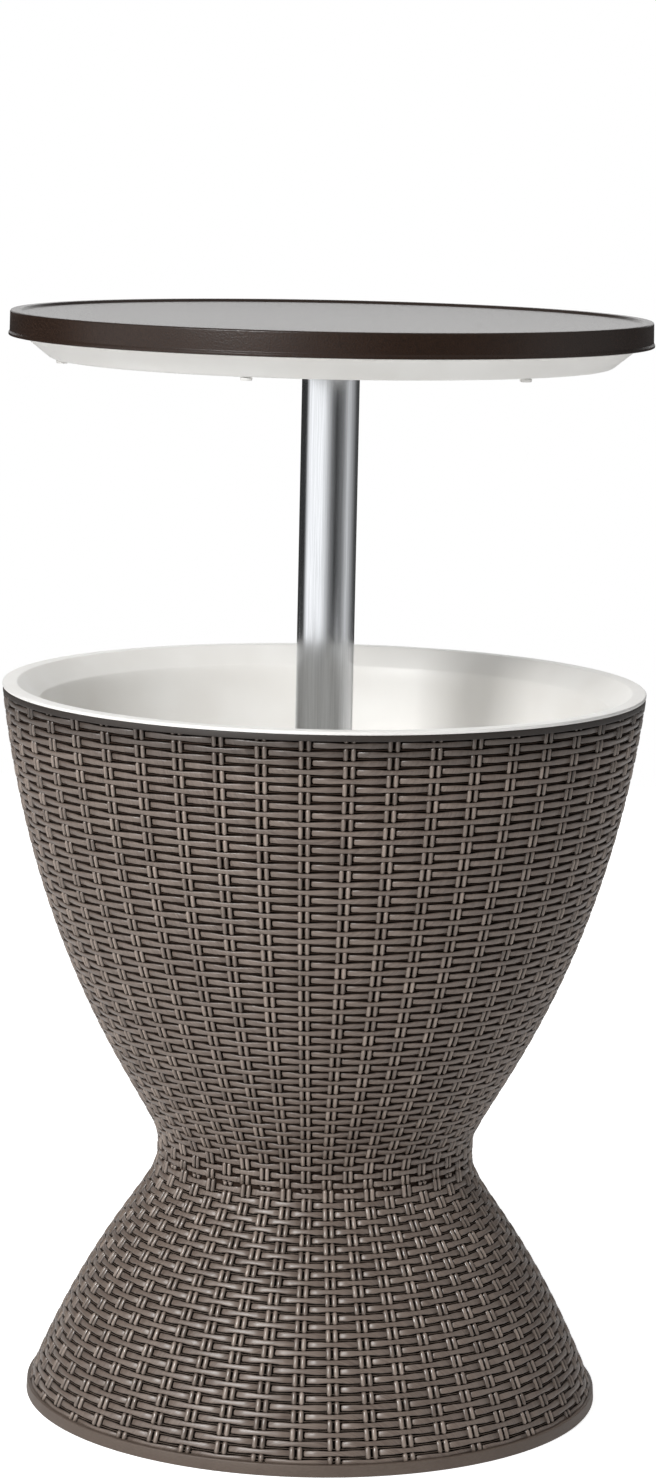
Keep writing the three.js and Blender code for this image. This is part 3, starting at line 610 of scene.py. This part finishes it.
# %% A helper that builds geometry trees
class Recipe(Graph):
    """A geometry tree under construction. Its inputs are given, and names holds their identifiers."""

    def __init__(self, name, inputs):
        super().__init__(bpy.data.node_groups.new(name, "GeometryNodeTree"))
        self.tree.interface.new_socket(name="Geometry", in_out="OUTPUT", socket_type="NodeSocketGeometry")
        self.names = {}
        for label, kind in {"Geometry": "Geometry", "Material": "Material", **inputs}.items():
            socket = self.tree.interface.new_socket(
                name=label, in_out="INPUT", socket_type="NodeSocket" + kind)
            self.names[label] = socket.identifier
        sockets = self.tree.nodes.new("NodeGroupInput").outputs
        self.given = {label: Term(self, sockets[label]) for label in self.names}

    def step(self, kind, inputs=None, output="Geometry", **settings):
        """Adds a geometry node and returns one of its outputs."""
        return self.add("GeometryNode" + kind, inputs, **settings).outputs[output]

    def vector(self, x, y, z):
        return self.add("ShaderNodeCombineXYZ", {0: x, 1: y, 2: z}).outputs[0]

    def keep(self, geometry, name, value, kind="FLOAT"):
        inputs = {"Geometry": geometry, "Name": name, "Value": value}
        return self.step("StoreNamedAttribute", inputs, data_type=kind, domain="POINT")

    def kept(self, name):
        return Term(self, self.step("InputNamedAttribute", {"Name": name}, "Attribute", data_type="FLOAT"))

    def copies(self, points, **inputs):
        """Copies of the given mesh on points, as one real mesh."""
        inputs.update(Points=points, Instance=self.given["Geometry"])
        placed = self.step("InstanceOnPoints", inputs, "Instances")
        return self.step("RealizeInstances", {"Geometry": placed})

    def points(self, count):
        return self.step("MeshLine", {"Count": count, "Offset": (0, 0, 0)}, "Mesh")

    def finish(self, geometry):
        dressed = self.step("SetMaterial", {"Geometry": geometry, "Material": self.given["Material"]})
        self.add("NodeGroupOutput", {"Geometry": dressed})


print("recipe helper ready")

# %% [markdown]
# ### One strand and one stake, in flat space
# A strand is drawn as rings along its length. Each ring has a place from -1 to 1, half a width, a
# height above the backing and a foot. The middle ring rides high over the stakes and is narrow, the
# ends widen, then round off and dive. A stake is a short bead with round ends, and stands a little
# prouder than the strands that cross it. Both sections are a D, flat at the back where nothing
# shows, so that their few faces go to the front. A strand's is the squarer one.

# %% Draw the template strand and the template stake
STRAND_SECTION = ((-0.96, 0.0), (-1.0, 0.64), (-0.9, 0.91), (-0.58, 1.0),
                  (0.58, 1.0), (0.9, 0.91), (1.0, 0.64), (0.96, 0.0))
STAKE_SECTION = ((-1.0, 0.0), (-0.8, 0.7), (0.0, 1.0), (0.8, 0.7), (1.0, 0.0))


def template(name, section, rings):
    """A closed bar along X from rings of (place, half width, height, foot)."""
    vertices, crests = [], []
    for place, width, height, foot_height in rings:
        for across, share in section:
            vertices.append((place, across * width, foot_height + share * (height - foot_height)))
            crests.append(share)
    count = len(section)
    faces = [list(range(count))]
    for r in range(len(rings) - 1):
        for i in range(count):
            j = (i + 1) % count
            faces.append([r * count + i, (r + 1) * count + i, (r + 1) * count + j, r * count + j])
    last = (len(rings) - 1) * count
    faces.append([last + i for i in reversed(range(count))])
    mesh = bpy.data.meshes.new(name)
    mesh.from_pydata(vertices, [], faces)
    mesh.attributes.new("strand_crest", "FLOAT", "POINT").data.foreach_set("value", crests)
    mesh.update()
    return mesh


def mirrored(rings):
    return [(-place, *rest) for place, *rest in reversed(rings) if place > 0] + rings


STRAND_RINGS = mirrored([
    (0.0, 1.65 * MM, 2.8 * MM, 0.6 * MM),
    (0.25, 1.8 * MM, 2.72 * MM, 0.4 * MM),
    (0.5, 2.3 * MM, 2.35 * MM, -0.3 * MM),
    (0.9, 2.15 * MM, 1.8 * MM, -0.3 * MM),
    (1.0, 1.25 * MM, 0.8 * MM, -0.3 * MM),
])
STAKE_RINGS = mirrored([
    (0.62, 1.0, 2.98 * MM, -0.3 * MM),
    (0.88, 0.82, 2.5 * MM, -0.3 * MM),
    (1.0, 0.36, 1.4 * MM, -0.3 * MM),
])
strand_mesh = template("strand_template", STRAND_SECTION, STRAND_RINGS)
stake_mesh = template("stake_template", STAKE_SECTION, STAKE_RINGS)
print(len(strand_mesh.polygons), "faces a strand,", len(stake_mesh.polygons), "a stake")

# %% [markdown]
# ### The two trees
# Both trees read the shell's side curve as a path that starts at the top. A place on the shell is
# then three numbers: an angle round the table, a length down the path and a height above the
# backing. Sample Curve gives the radius, the level and the direction there. The pairs stand further
# apart where the shell is wide, so the reach of a strand is worked out from the radius.

# %% Wrap flat places on to the shell
WEAVE_INPUTS = {
    "Path": "Object", "Rows": "Int", "First row": "Float", "Row pitch": "Float",
    "First shift": "Int", "Pairs": "Int", "First angle": "Float", "Path end": "Float",
    "Waist radius": "Float", "Wide radius": "Float", "Waist spacing": "Float",
    "Wide spacing": "Float", "Waist stake": "Float", "Wide stake": "Float",
    "Crest": "Float", "Tone": "Float", "Seed": "Int",
}


def path_at(recipe, length):
    """Radius, level and the outward direction of the path at a length down from its top."""
    curve = recipe.step("ObjectInfo", {"Object": recipe.given["Path"]})
    held = recipe.maths("MINIMUM", recipe.maths("MAXIMUM", length, 0.0), recipe.given["Path end"])
    sample = recipe.add("GeometryNodeSampleCurve", {"Curves": curve, "Length": held},
                        mode="LENGTH", use_all_curves=True)
    radius, _, level = recipe.parts(sample.outputs["Position"])
    along_r, _, along_z = recipe.parts(sample.outputs["Tangent"])
    return radius, level, -along_z, along_r


def by_radius(recipe, radius, name):
    """A size that runs from its value at the waist to its value where the shell is widest."""
    given = recipe.given
    return recipe.span(radius, given["Waist " + name], given["Wide " + name],
                       given["Waist radius"], given["Wide radius"])


def wrap(recipe, geometry, spot, angle, height):
    """Moves each point to its angle, its place on the path and its height above the backing."""
    radius, level, out_r, out_z = spot
    proud = height - recipe.given["Crest"]
    reach = radius + proud * out_r
    x = reach * recipe.maths("SINE", angle)
    y = -(reach * recipe.maths("COSINE", angle))
    position = recipe.vector(x, y, level + proud * out_z)
    return recipe.step("SetPosition", {"Geometry": geometry, "Position": position})


def close(recipe, geometry, along, across):
    """Keeps what the finish needs, smooths, and ends the tree."""
    place = recipe.vector(along, across, recipe.kept("strand_tone") * 3.0)
    geometry = recipe.keep(geometry, "strand_place", place, "FLOAT_VECTOR")
    recipe.finish(recipe.step("SetShadeSmooth", {"Geometry": geometry}))


def woven(recipe, count, **values):
    """Copies of the template, each with its own kept values and a random tone."""
    points = recipe.points(count)
    for name, value in values.items():
        points = recipe.keep(points, name, value)
    random = recipe.add("FunctionNodeRandomValue", {"Seed": recipe.given["Seed"]}).outputs[1]
    tone = Term(recipe, random) + recipe.given["Tone"]
    return recipe.copies(recipe.keep(points, "strand_tone", tone))


def flat_place(recipe):
    return recipe.parts(recipe.step("InputPosition", output="Position"))


def strand_tree():
    recipe = Recipe("woven_strands", {
        **WEAVE_INPUTS, "Left gap": "Float", "Right gap": "Float", "Tip": "Float", "Widen": "Float"})
    given = recipe.given
    index = Term(recipe, recipe.step("InputIndex", output="Index"))
    half = given["Pairs"] / 2.0
    row = (index + 0.5) // half
    column = index - row * half
    pair = column * 2.0 + (row + given["First shift"]) % 2.0
    step = 2 * math.pi / given["Pairs"]
    geometry = woven(recipe, given["Rows"] * half,
                     row_length=given["First row"] + row * given["Row pitch"],
                     pair_angle=given["First angle"] + pair * step)
    flat_x, flat_y, flat_z = flat_place(recipe)
    spot = path_at(recipe, recipe.kept("row_length") + flat_y * given["Widen"])
    radius = spot[0]
    beside = (by_radius(recipe, radius, "spacing") + by_radius(recipe, radius, "stake")) / 2.0
    gap = recipe.span(flat_x, given["Left gap"], given["Right gap"], -0.2, 0.2)
    middle = radius * step - beside - gap - beside - given["Tip"]
    share = recipe.maths("ABSOLUTE", flat_x)
    along = beside * recipe.span(share, 0.0, 1.0, 0.0, 0.25) + (
        middle * recipe.span(share, 0.0, 1.0, 0.25, 0.75)
        + given["Tip"] * recipe.span(share, 0.0, 1.0, 0.75, 1.0))
    along = along * recipe.maths("SIGN", flat_x)
    angle = recipe.kept("pair_angle") + along / radius
    close(recipe, wrap(recipe, geometry, spot, angle, flat_z), along, flat_y)
    return recipe


def stake_tree():
    recipe = Recipe("upright_stakes", {**WEAVE_INPUTS, "Half length": "Float"})
    given = recipe.given
    index = Term(recipe, recipe.step("InputIndex", output="Index"))
    stakes_round = given["Pairs"] * 2.0
    layer = (index + 0.5) // stakes_round
    stake = index - layer * stakes_round
    pair = (stake + 0.5) // 2.0
    row = layer * 2.0 + (pair + given["First shift"]) % 2.0 - 1.0
    step = 2 * math.pi / given["Pairs"]
    geometry = woven(recipe, (given["Rows"] / 2.0 + 1.0) * stakes_round,
                     row_length=given["First row"] + row * given["Row pitch"],
                     pair_angle=given["First angle"] + pair * step,
                     stake_side=stake - pair * 2.0 - 0.5)
    flat_x, flat_y, flat_z = flat_place(recipe)
    down = recipe.kept("row_length") + flat_x * given["Half length"]
    spot = path_at(recipe, down)
    radius = spot[0]
    width = by_radius(recipe, radius, "stake") / 2.0
    across = by_radius(recipe, radius, "spacing") * recipe.kept("stake_side") + -(flat_y * width)
    angle = recipe.kept("pair_angle") + across / radius
    close(recipe, wrap(recipe, geometry, spot, angle, flat_z), down, across)
    return recipe


strands = strand_tree()
stakes = stake_tree()
print("trees:", strands.tree.name, len(strands.tree.nodes), stakes.tree.name, len(stakes.tree.nodes))

# %% [markdown]
# ### Weave both shells
# The same two trees weave the bowl and the foot. Only the numbers differ: how many rows, where the
# first one lies and which pairs it crosses. When a mesh is ready it is kept as a plain mesh, since
# nothing about it needs to stay live.

# %% Run the trees
PAIRS = 48
BOWL_WEAVE = {
    "Rows": BOWL_ROWS, "First row": BOWL_FIRST, "Row pitch": BOWL_PITCH,
    "First shift": 1, "First angle": math.radians(-3.05),
    "Waist spacing": 4.5 * MM, "Wide spacing": 5.5 * MM, "Waist stake": 3.8 * MM, "Wide stake": 4.1 * MM,
}
SKIRT_WEAVE = {
    "Rows": SKIRT_ROWS, "First row": SKIRT_FIRST, "Row pitch": SKIRT_PITCH,
    "First shift": 0, "First angle": math.radians(-2.5),
    "Waist spacing": 4.8 * MM, "Wide spacing": 5.9 * MM, "Waist stake": 4.1 * MM, "Wide stake": 4.6 * MM,
}


def path_object(name, points):
    data = bpy.data.curves.new(name, "CURVE")
    data.dimensions = "3D"
    spline = data.splines.new("POLY")
    spline.points.add(len(points) - 1)
    for target, point in zip(spline.points, points):
        target.co = (point.x, 0, point.y, 1)
    return linked(name, data)


def settled(source, name):
    """What an object's modifiers make of it, as a plain mesh."""
    bpy.context.view_layer.update()
    evaluated = source.evaluated_get(bpy.context.evaluated_depsgraph_get())
    mesh = bpy.data.meshes.new_from_object(evaluated)
    mesh.name = name
    return mesh


def grown(name, recipe, mesh, values):
    """Runs a tree on a mesh and returns what it makes as a plain object."""
    source = linked(name + "_source", mesh.copy())
    modifier = source.modifiers.new("weave", "NODES")
    modifier.node_group = recipe.tree
    for label, value in values.items():
        modifier[recipe.names[label]] = value
    piece = linked(name, settled(source, name))
    bpy.data.objects.remove(source)
    return piece


def weave(prefix, points, numbers, widen, seed):
    path = path_object(prefix + "_path", points)
    shared = {
        **numbers, "Path": path, "Path end": length_of(points), "Pairs": PAIRS, "Crest": CREST,
        "Waist radius": WAIST_RADIUS, "Wide radius": max(point.x for point in points),
        "Material": strand_finish,
    }
    made = [
        grown(prefix + "_strands", strands, strand_mesh,
              {**shared, "Left gap": 0.7 * MM, "Right gap": -1.2 * MM, "Tip": 2.0 * MM,
               "Tone": 0.0, "Widen": widen, "Seed": seed}),
        # The stakes' tone from 1 up makes the strand finish paint them paler, a painted highlight.
        grown(prefix + "_stakes", stakes, stake_mesh,
              {**shared, "Half length": 5.0 * MM, "Tone": 1.0, "Seed": seed + 1}),
    ]
    bpy.data.objects.remove(path)
    return [len(fit(piece, "base", "wicker").data.polygons) for piece in made]


bowl_path = [Vector((BOWL_RADIUS, BOWL_TOP))] + bowl_curve(96)
face_counts = weave("bowl", bowl_path, BOWL_WEAVE, 1.0, 11)
face_counts += weave("skirt", skirt_curve(80), SKIRT_WEAVE, 1.05, 23)
print("weave:", sum(face_counts), "faces")

# %% [markdown]
# ### Ribs inside the foot
# A thin shell that a whole table stands on needs stiffening, so the moulding has six ribs inside,
# which show from below. One rib is drawn as a thin plate between two curves beside the shell, and a
# small tree repeats it round the middle line. The same tree serves anything else that goes round.

# %% Draw one rib and repeat it
RIB_LOW, RIB_HIGH = 19 * MM, 153 * MM
RIB_ROOT, RIB_DEPTH, RIB_THICKNESS = 4.2 * MM, 15 * MM, 3 * MM


def round_tree():
    recipe = Recipe("round_the_middle", {"Count": "Int", "First angle": "Float"})
    count, first = recipe.given["Count"], recipe.given["First angle"]
    index = Term(recipe, recipe.step("InputIndex", output="Index"))
    turn = recipe.vector(0.0, 0.0, first + index * (2 * math.pi / count))
    recipe.finish(recipe.copies(recipe.points(count), Rotation=turn))
    return recipe


def rib_mesh():
    """A plate from a curve beside the foot's inside to one further in, in the plane of X and Z."""
    outer = [p for p in moved_in(skirt_curve(24), RIB_ROOT) if RIB_LOW < p.y < RIB_HIGH]
    inner = [p for p in moved_in(skirt_curve(24), RIB_DEPTH) if RIB_LOW < p.y < RIB_HIGH]
    outline = outer + inner[::-1]
    count = len(outline)
    vertices = [(p.x, y, p.y) for y in (-RIB_THICKNESS / 2, RIB_THICKNESS / 2) for p in outline]
    faces = [list(reversed(range(count))), list(range(count, 2 * count))]
    for i in range(count):
        j = (i + 1) % count
        faces.append([i, j, count + j, count + i])
    mesh = bpy.data.meshes.new("rib")
    mesh.from_pydata(vertices, [], faces)
    return mesh


repeats = round_tree()
ribs = grown("foot_ribs", repeats, rib_mesh(), {
    "Count": 6, "First angle": math.radians(30), "Material": band_finish})
fit(ribs, "base", "wicker")

# %% [markdown]
# ## The white bucket
# The bucket is one turned section: a flat rim with a soft edge, a sloped shoulder that the lid sits
# in, a wall that follows the bowl, a floor with a gutter, and a hollow column round the mast. The
# drain's spout is joined to it and its hole cut through with Boolean modifiers, because these are
# the only things on it that aren't round about the middle.

# %% Turn the bucket
RIM_RADIUS, RIM_HEIGHT, RIM_FOOT = 247 * MM, 559.3 * MM, 556.7 * MM
WALL_INSIDE, WALL_OUTSIDE = 27 * MM, 24.2 * MM
FLOOR, FLOOR_BACK, GUTTER = 246.5 * MM, 240.7 * MM, 243.5 * MM
COLUMN_TOP = 497 * MM
DRAIN_CIRCLE = 70 * MM


def between(curve, low, high):
    return [tuple(p) for p in curve if low < p.y < high]


def bucket():
    inner = moved_in(bowl_curve(96), WALL_INSIDE)
    outer = moved_in(bowl_curve(96), WALL_OUTSIDE)
    foot_inner = next(p for p in inner if p.y < FLOOR + 17 * MM)
    foot_outer = next(p for p in outer if p.y < FLOOR + 17 * MM)
    section = [(26.6 * MM, FLOOR_BACK), (foot_outer.x - 17 * MM, FLOOR_BACK, 9 * MM)]
    section += list(reversed(between(outer, FLOOR + 16 * MM, 541 * MM)))
    section += [(238.6 * MM, RIM_FOOT), (239.9 * MM, RIM_FOOT), (239.9 * MM, 552.1 * MM),
                (242.3 * MM, 552.1 * MM), (242.3 * MM, RIM_FOOT),
                (RIM_RADIUS, RIM_FOOT, 0.5 * MM), (RIM_RADIUS, RIM_HEIGHT, 1.0 * MM),
                (236 * MM, RIM_HEIGHT, 3 * MM), (219.5 * MM, 545 * MM, 4 * MM)]
    section += between(inner, FLOOR + 17 * MM, 543 * MM)
    section += [(foot_inner.x - 2 * MM, FLOOR + 12 * MM), (foot_inner.x - 8 * MM, FLOOR + 4.2 * MM),
                (foot_inner.x - 17 * MM, FLOOR + 0.6 * MM), (foot_inner.x - 24 * MM, FLOOR),
                (84.5 * MM, GUTTER, 6 * MM), (55.5 * MM, GUTTER, 6 * MM),
                (37 * MM, FLOOR, 3 * MM), (31.4 * MM, FLOOR + 5.3 * MM, 4 * MM),
                (29.4 * MM, COLUMN_TOP, 0.8 * MM), (26.6 * MM, COLUMN_TOP, 0.8 * MM)]
    return turned("bucket", section, [white_finish], 192, steps=4)


def cylinder(name, radius, low, high, x, y, segments=48):
    shape = bmesh.new()
    bmesh.ops.create_cone(shape, cap_ends=True, segments=segments, radius1=radius, radius2=radius,
                          depth=high - low, matrix=Matrix.Translation((x, y, (low + high) / 2)))
    mesh = bpy.data.meshes.new(name)
    shape.to_mesh(mesh)
    shape.free()
    return linked(name, mesh)


def cut(piece, tool, operation="DIFFERENCE"):
    """Joins a tool to a piece, or cuts it away, and makes the result its mesh."""
    modifier = piece.modifiers.new("cut", "BOOLEAN")
    modifier.operation = operation
    modifier.object = tool
    mesh = settled(piece, piece.data.name)
    piece.modifiers.remove(modifier)
    piece.data = mesh
    bpy.data.objects.remove(tool)
    soften(mesh)


white_bucket = bucket()
cut(white_bucket, cylinder("spout", 11 * MM, 216.7 * MM, 242.5 * MM, 0, -DRAIN_CIRCLE), "UNION")
cut(white_bucket, cylinder("drain_bore", 8 * MM, 214 * MM, 246 * MM, 0, -DRAIN_CIRCLE))
fit(white_bucket, "base", "white", "ice_bucket")

# %% [markdown]
# ## The round top
# The brown cover is turned too. Its field lies a little below a raised lip, the skirt leans out very
# slightly, and a thin flare closes its lower edge. The white pan under it drops in a step, slopes in
# and ends flat, so that it plugs the bucket when the top comes down. Both sections are typed in
# millimetres here and turned into metres, the unit of everything else.

# %% Turn the cover and the pan
TOP_HEIGHT, TOP_RADIUS, TOP_SKIRT = 842.4, 245, 823.7


def in_metres(*points):
    """Points of a section typed in millimetres, in metres."""
    return [tuple(value * MM for value in point) for point in points]


def cover():
    section = in_metres(
        (0, 840.4), (234.3, 840.4, 0.8), (236.1, TOP_HEIGHT, 0.9), (243.8, TOP_HEIGHT, 1.6),
        (244.1, 827, 1.0), (TOP_RADIUS, 825.4, 0.6), (TOP_RADIUS, TOP_SKIRT, 0.5),
        (242.2, TOP_SKIRT, 0.4), (241, 826.9, 0.5), (241, 837.6, 2), (0, 837.6))
    return turned("round_top", section, [side_finish], 192, steps=4)


def pan():
    section = in_metres(
        (240.7, 824.0, 0.4), (240.7, 826.8, 0.4), (231, 826.8, 2), (217.5, 814.6, 3), (211.9, 809.5, 2),
        (22.3, 809.5), (22.3, 806.7, 0.6), (213.2, 806.7, 9), (231, 821.1, 1.6), (233.7, 822.0, 0.8),
        (234.0, 824.0, 0.5))
    return turned("lid_underside", section, [white_finish], 192, steps=5)


fit(cover(), "mast", "top", "tabletop_cover")
fit(pan(), "mast", "white", "lid_pan")

# %% [markdown]
# ## Mast, ring nut and the screws that show
# The mast is a plain tube, so what sells it is a truly round section and the drawn finish. The ring
# nut has flutes for fingers, cut with thin cylinders. Six small white screw heads show under the
# top. The tree that spread the ribs spreads them too.

# %% Turn the mast and the nut, and set the screws
MAST_RADIUS, MAST_BORE = 22 * MM, 20.5 * MM
NUT_RADIUS, NUT_BORE, NUT_SEAT_BORE, NUT_SEAT = 33 * MM, 22.3 * MM, 26.6 * MM, 505.3 * MM
NUT_FLUTES, FLUTE_RADIUS, FLUTE_CIRCLE = 10, 3 * MM, 34.7 * MM
HEAD_CIRCLE, HEAD_HEIGHT, HEAD_ANGLE = 207 * MM, 806.4 * MM, math.radians(13.02)


def mast():
    lowest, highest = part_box("mast_tube")
    section = [(MAST_BORE, lowest.z, 0.4 * MM), (MAST_RADIUS, lowest.z, 0.5 * MM),
               (MAST_RADIUS, highest.z, 0.5 * MM), (MAST_BORE, highest.z, 0.4 * MM)]
    return turned("mast", section, [mast_finish], 96)


def ring_nut():
    lowest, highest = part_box("ring_nut")
    section = [(NUT_SEAT_BORE, lowest.z, 0.5 * MM), (NUT_RADIUS, lowest.z, 0.8 * MM),
               (NUT_RADIUS, highest.z, 1.8 * MM), (NUT_BORE, highest.z, 0.8 * MM),
               (NUT_BORE, NUT_SEAT, 0.3 * MM), (NUT_SEAT_BORE, NUT_SEAT, 0.3 * MM)]
    nut = turned("ring_nut_soft", section, [white_finish], 120, steps=4)
    for i in range(NUT_FLUTES):
        angle = 2 * math.pi * i / NUT_FLUTES
        cut(nut, cylinder("flute", FLUTE_RADIUS, lowest.z - MM, highest.z + MM,
                          FLUTE_CIRCLE * math.cos(angle), FLUTE_CIRCLE * math.sin(angle), 24))
    return nut


def lid_heads():
    section = in_metres((0, 15.1), (1.9, 15.1), (1.9, 0), (4.4, 0, 0.3), (4.4, -2.4, 1.7), (0, -2.4))
    one = turned("one_head", section, [white_finish], 32, steps=5)
    one.data.transform(Matrix.Translation((HEAD_CIRCLE, 0, HEAD_HEIGHT)))
    heads = grown("lid_screw_heads", repeats, one.data, {
        "Count": 6, "First angle": HEAD_ANGLE, "Material": white_finish})
    bpy.data.objects.remove(one)
    return heads


fit(mast(), "mast", "mast", "mast_tube")
fit(ring_nut(), "base", "white", "ring_nut")
fit(lid_heads(), "mast", "white", *[f"lid_screw_{i}" for i in range(1, 7)])

# %% [markdown]
# ## The pieces that keep their mesh
# What sits inside needs no new shape, only its finish. Each of those nodes still shows through an
# opening from some side, such as the hub from below, so each gets the finish of its slot.

# %% Give the inner pieces their finishes
INNER = {
    nylon_finish: ["waist_hub", "guide_cap", "drain_plug", "lock_bush", "lock_cam", "mast_head"],
    mast_finish: ["mast_guide"],
    rubber_finish: ["column_gasket", "drain_seal"],
    steel_finish: ["cam_washer", "cam_screw", "cam_pin", "head_pin"]
    + [f"waist_screw_{i}" for i in range(1, 7)] + [f"head_screw_{i}" for i in range(1, 5)],
}
for inner_finish, names in INNER.items():
    for name in names:
        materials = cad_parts[name].data.materials
        materials.clear()
        materials.append(inner_finish)
    print(inner_finish.name, "on", len(names), "nodes")

# %% [markdown]
# ## Floor and light
# The table stands on a plain white floor, before a white world. The light is soft: a large lamp
# high on the left makes the strands stand out, a weak one fills the right, another lifts the back,
# and the world itself gives the rest.
#
# The world shows three faces. The camera sees plain white. Surfaces are lit by it evenly and weakly.
# Reflections see a photographer's room: a bright panel on the front left and black cards beside it,
# which draw the light and dark stripes down the mast, and a white wall behind, above the horizon
# only, which gives the top its sheen and leaves the weave's edges dark. The floor glows for the
# camera, so that it reads as white around a soft shadow, and glows weakly for all other rays too,
# a painted glow that adds fill light to the table from below.

# %% Lay the floor and hang the lamps
WORLD_LIGHT, OVERHEAD, BEHIND = 0.21, 0.6, 1.6
# The floor glows for the camera, and weakly for all other rays as a painted glow that lights the table.
FLOOR_SIZE, FLOOR_GLOW, FLOOR_FILL_GLOW = 3.0, 0.76, 0.2
FLOOR_DROP = 0.2 * MM
# The room in reflections: degrees round from the camera, negative to the left, and brightness there
ROOM = ((-180, 0.05), (-106, 0.05), (-86, 1.6), (-26, 1.6), (10, 0.3), (28, 0.06), (58, 0.3),
        (82, 0.9), (104, 0.5), (130, 0.1), (180, 0.05))
# How far back or up a direction points where the wall, the horizon and the ceiling begin and are full
WALL_EDGE, HORIZON_EDGE, CEILING_EDGE = (0.88, 0.96), (0.0, 0.08), (0.4, 0.8)
AIM = (0, 0, 0.4)


def lay_floor():
    mesh = bpy.data.meshes.new("floor")
    corners = [(x * FLOOR_SIZE, y * FLOOR_SIZE, 0) for x, y in ((-1, -1), (1, -1), (1, 1), (-1, 1))]
    mesh.from_pydata(corners, [], [(0, 1, 2, 3)])
    plane = linked("floor", mesh)
    finish = Finish("floor_white")
    seen = finish.add("ShaderNodeLightPath").outputs["Is Camera Ray"]
    # The floor's glow for rays other than the camera's is a painted glow that lights the table from below.
    glow = finish.span(seen, FLOOR_FILL_GLOW, FLOOR_GLOW, 0, 1)
    mesh.materials.append(finish.set(Base_Color=(0.93, 0.93, 0.93, 1), Roughness=0.9,
                                     Emission_Color=(1, 1, 1, 1), Emission_Strength=glow))
    plane.location.z = -FLOOR_DROP


def hang_lamp(name, place, size, watts, glossy=True):
    data = bpy.data.lights.new(name, "AREA")
    data.size = size
    data.energy = watts
    lamp = linked(name, data)
    lamp.location = place
    lamp.visible_camera = False
    lamp.visible_glossy = glossy
    lamp.rotation_euler = (Vector(AIM) - Vector(place)).to_track_quat("-Z", "Y").to_euler()


def light_world():
    world = bpy.data.worlds.new("studio")
    bpy.context.scene.world = world
    world.use_nodes = True
    sky = Graph(world.node_tree)
    background = sky.tree.nodes["Background"]
    background.inputs["Color"].default_value = (1, 1, 1, 1)

    def choose(share, first, second):
        inputs = {"Factor": share, "A": first, "B": second}
        return sky.add("ShaderNodeMix", inputs, data_type="FLOAT").outputs["Result"]

    right, back, up = sky.parts(sky.add("ShaderNodeTexCoord").outputs["Generated"])
    turn = sky.span(sky.maths("ARCTAN2", right, -back), 0, 1, -math.pi, math.pi)
    ramp = sky.add("ShaderNodeValToRGB", {"Fac": turn})
    stops = ramp.color_ramp.elements
    while len(stops) < len(ROOM):
        stops.new(0.5)
    for stop, (degrees, brightness) in zip(stops, ROOM):
        stop.position = (degrees + 180) / 360
        stop.color = (brightness, brightness, brightness, 1)
    wall = sky.span(back, 0, 1, *WALL_EDGE) * sky.span(up, 0, 1, *HORIZON_EDGE)
    around = choose(wall, ramp.outputs["Color"], BEHIND)
    room = choose(sky.span(up, 0, 1, *CEILING_EDGE), around, OVERHEAD)
    path = sky.add("ShaderNodeLightPath")
    lit = choose(path.outputs["Is Glossy Ray"], WORLD_LIGHT, room)
    sky.feed(background.inputs["Strength"], choose(path.outputs["Is Camera Ray"], lit, 1.0))


lay_floor()
light_world()
hang_lamp("key_lamp", (-1.85, -2.65, 2.45), 1.0, 121)
hang_lamp("fill_lamp", (2.6, -2.4, 1.2), 1.8, 3, glossy=False)
hang_lamp("back_lamp", (1.4, 3.0, 2.0), 1.8, 26, glossy=False)
bpy.context.scene.view_settings.view_transform = "Standard"
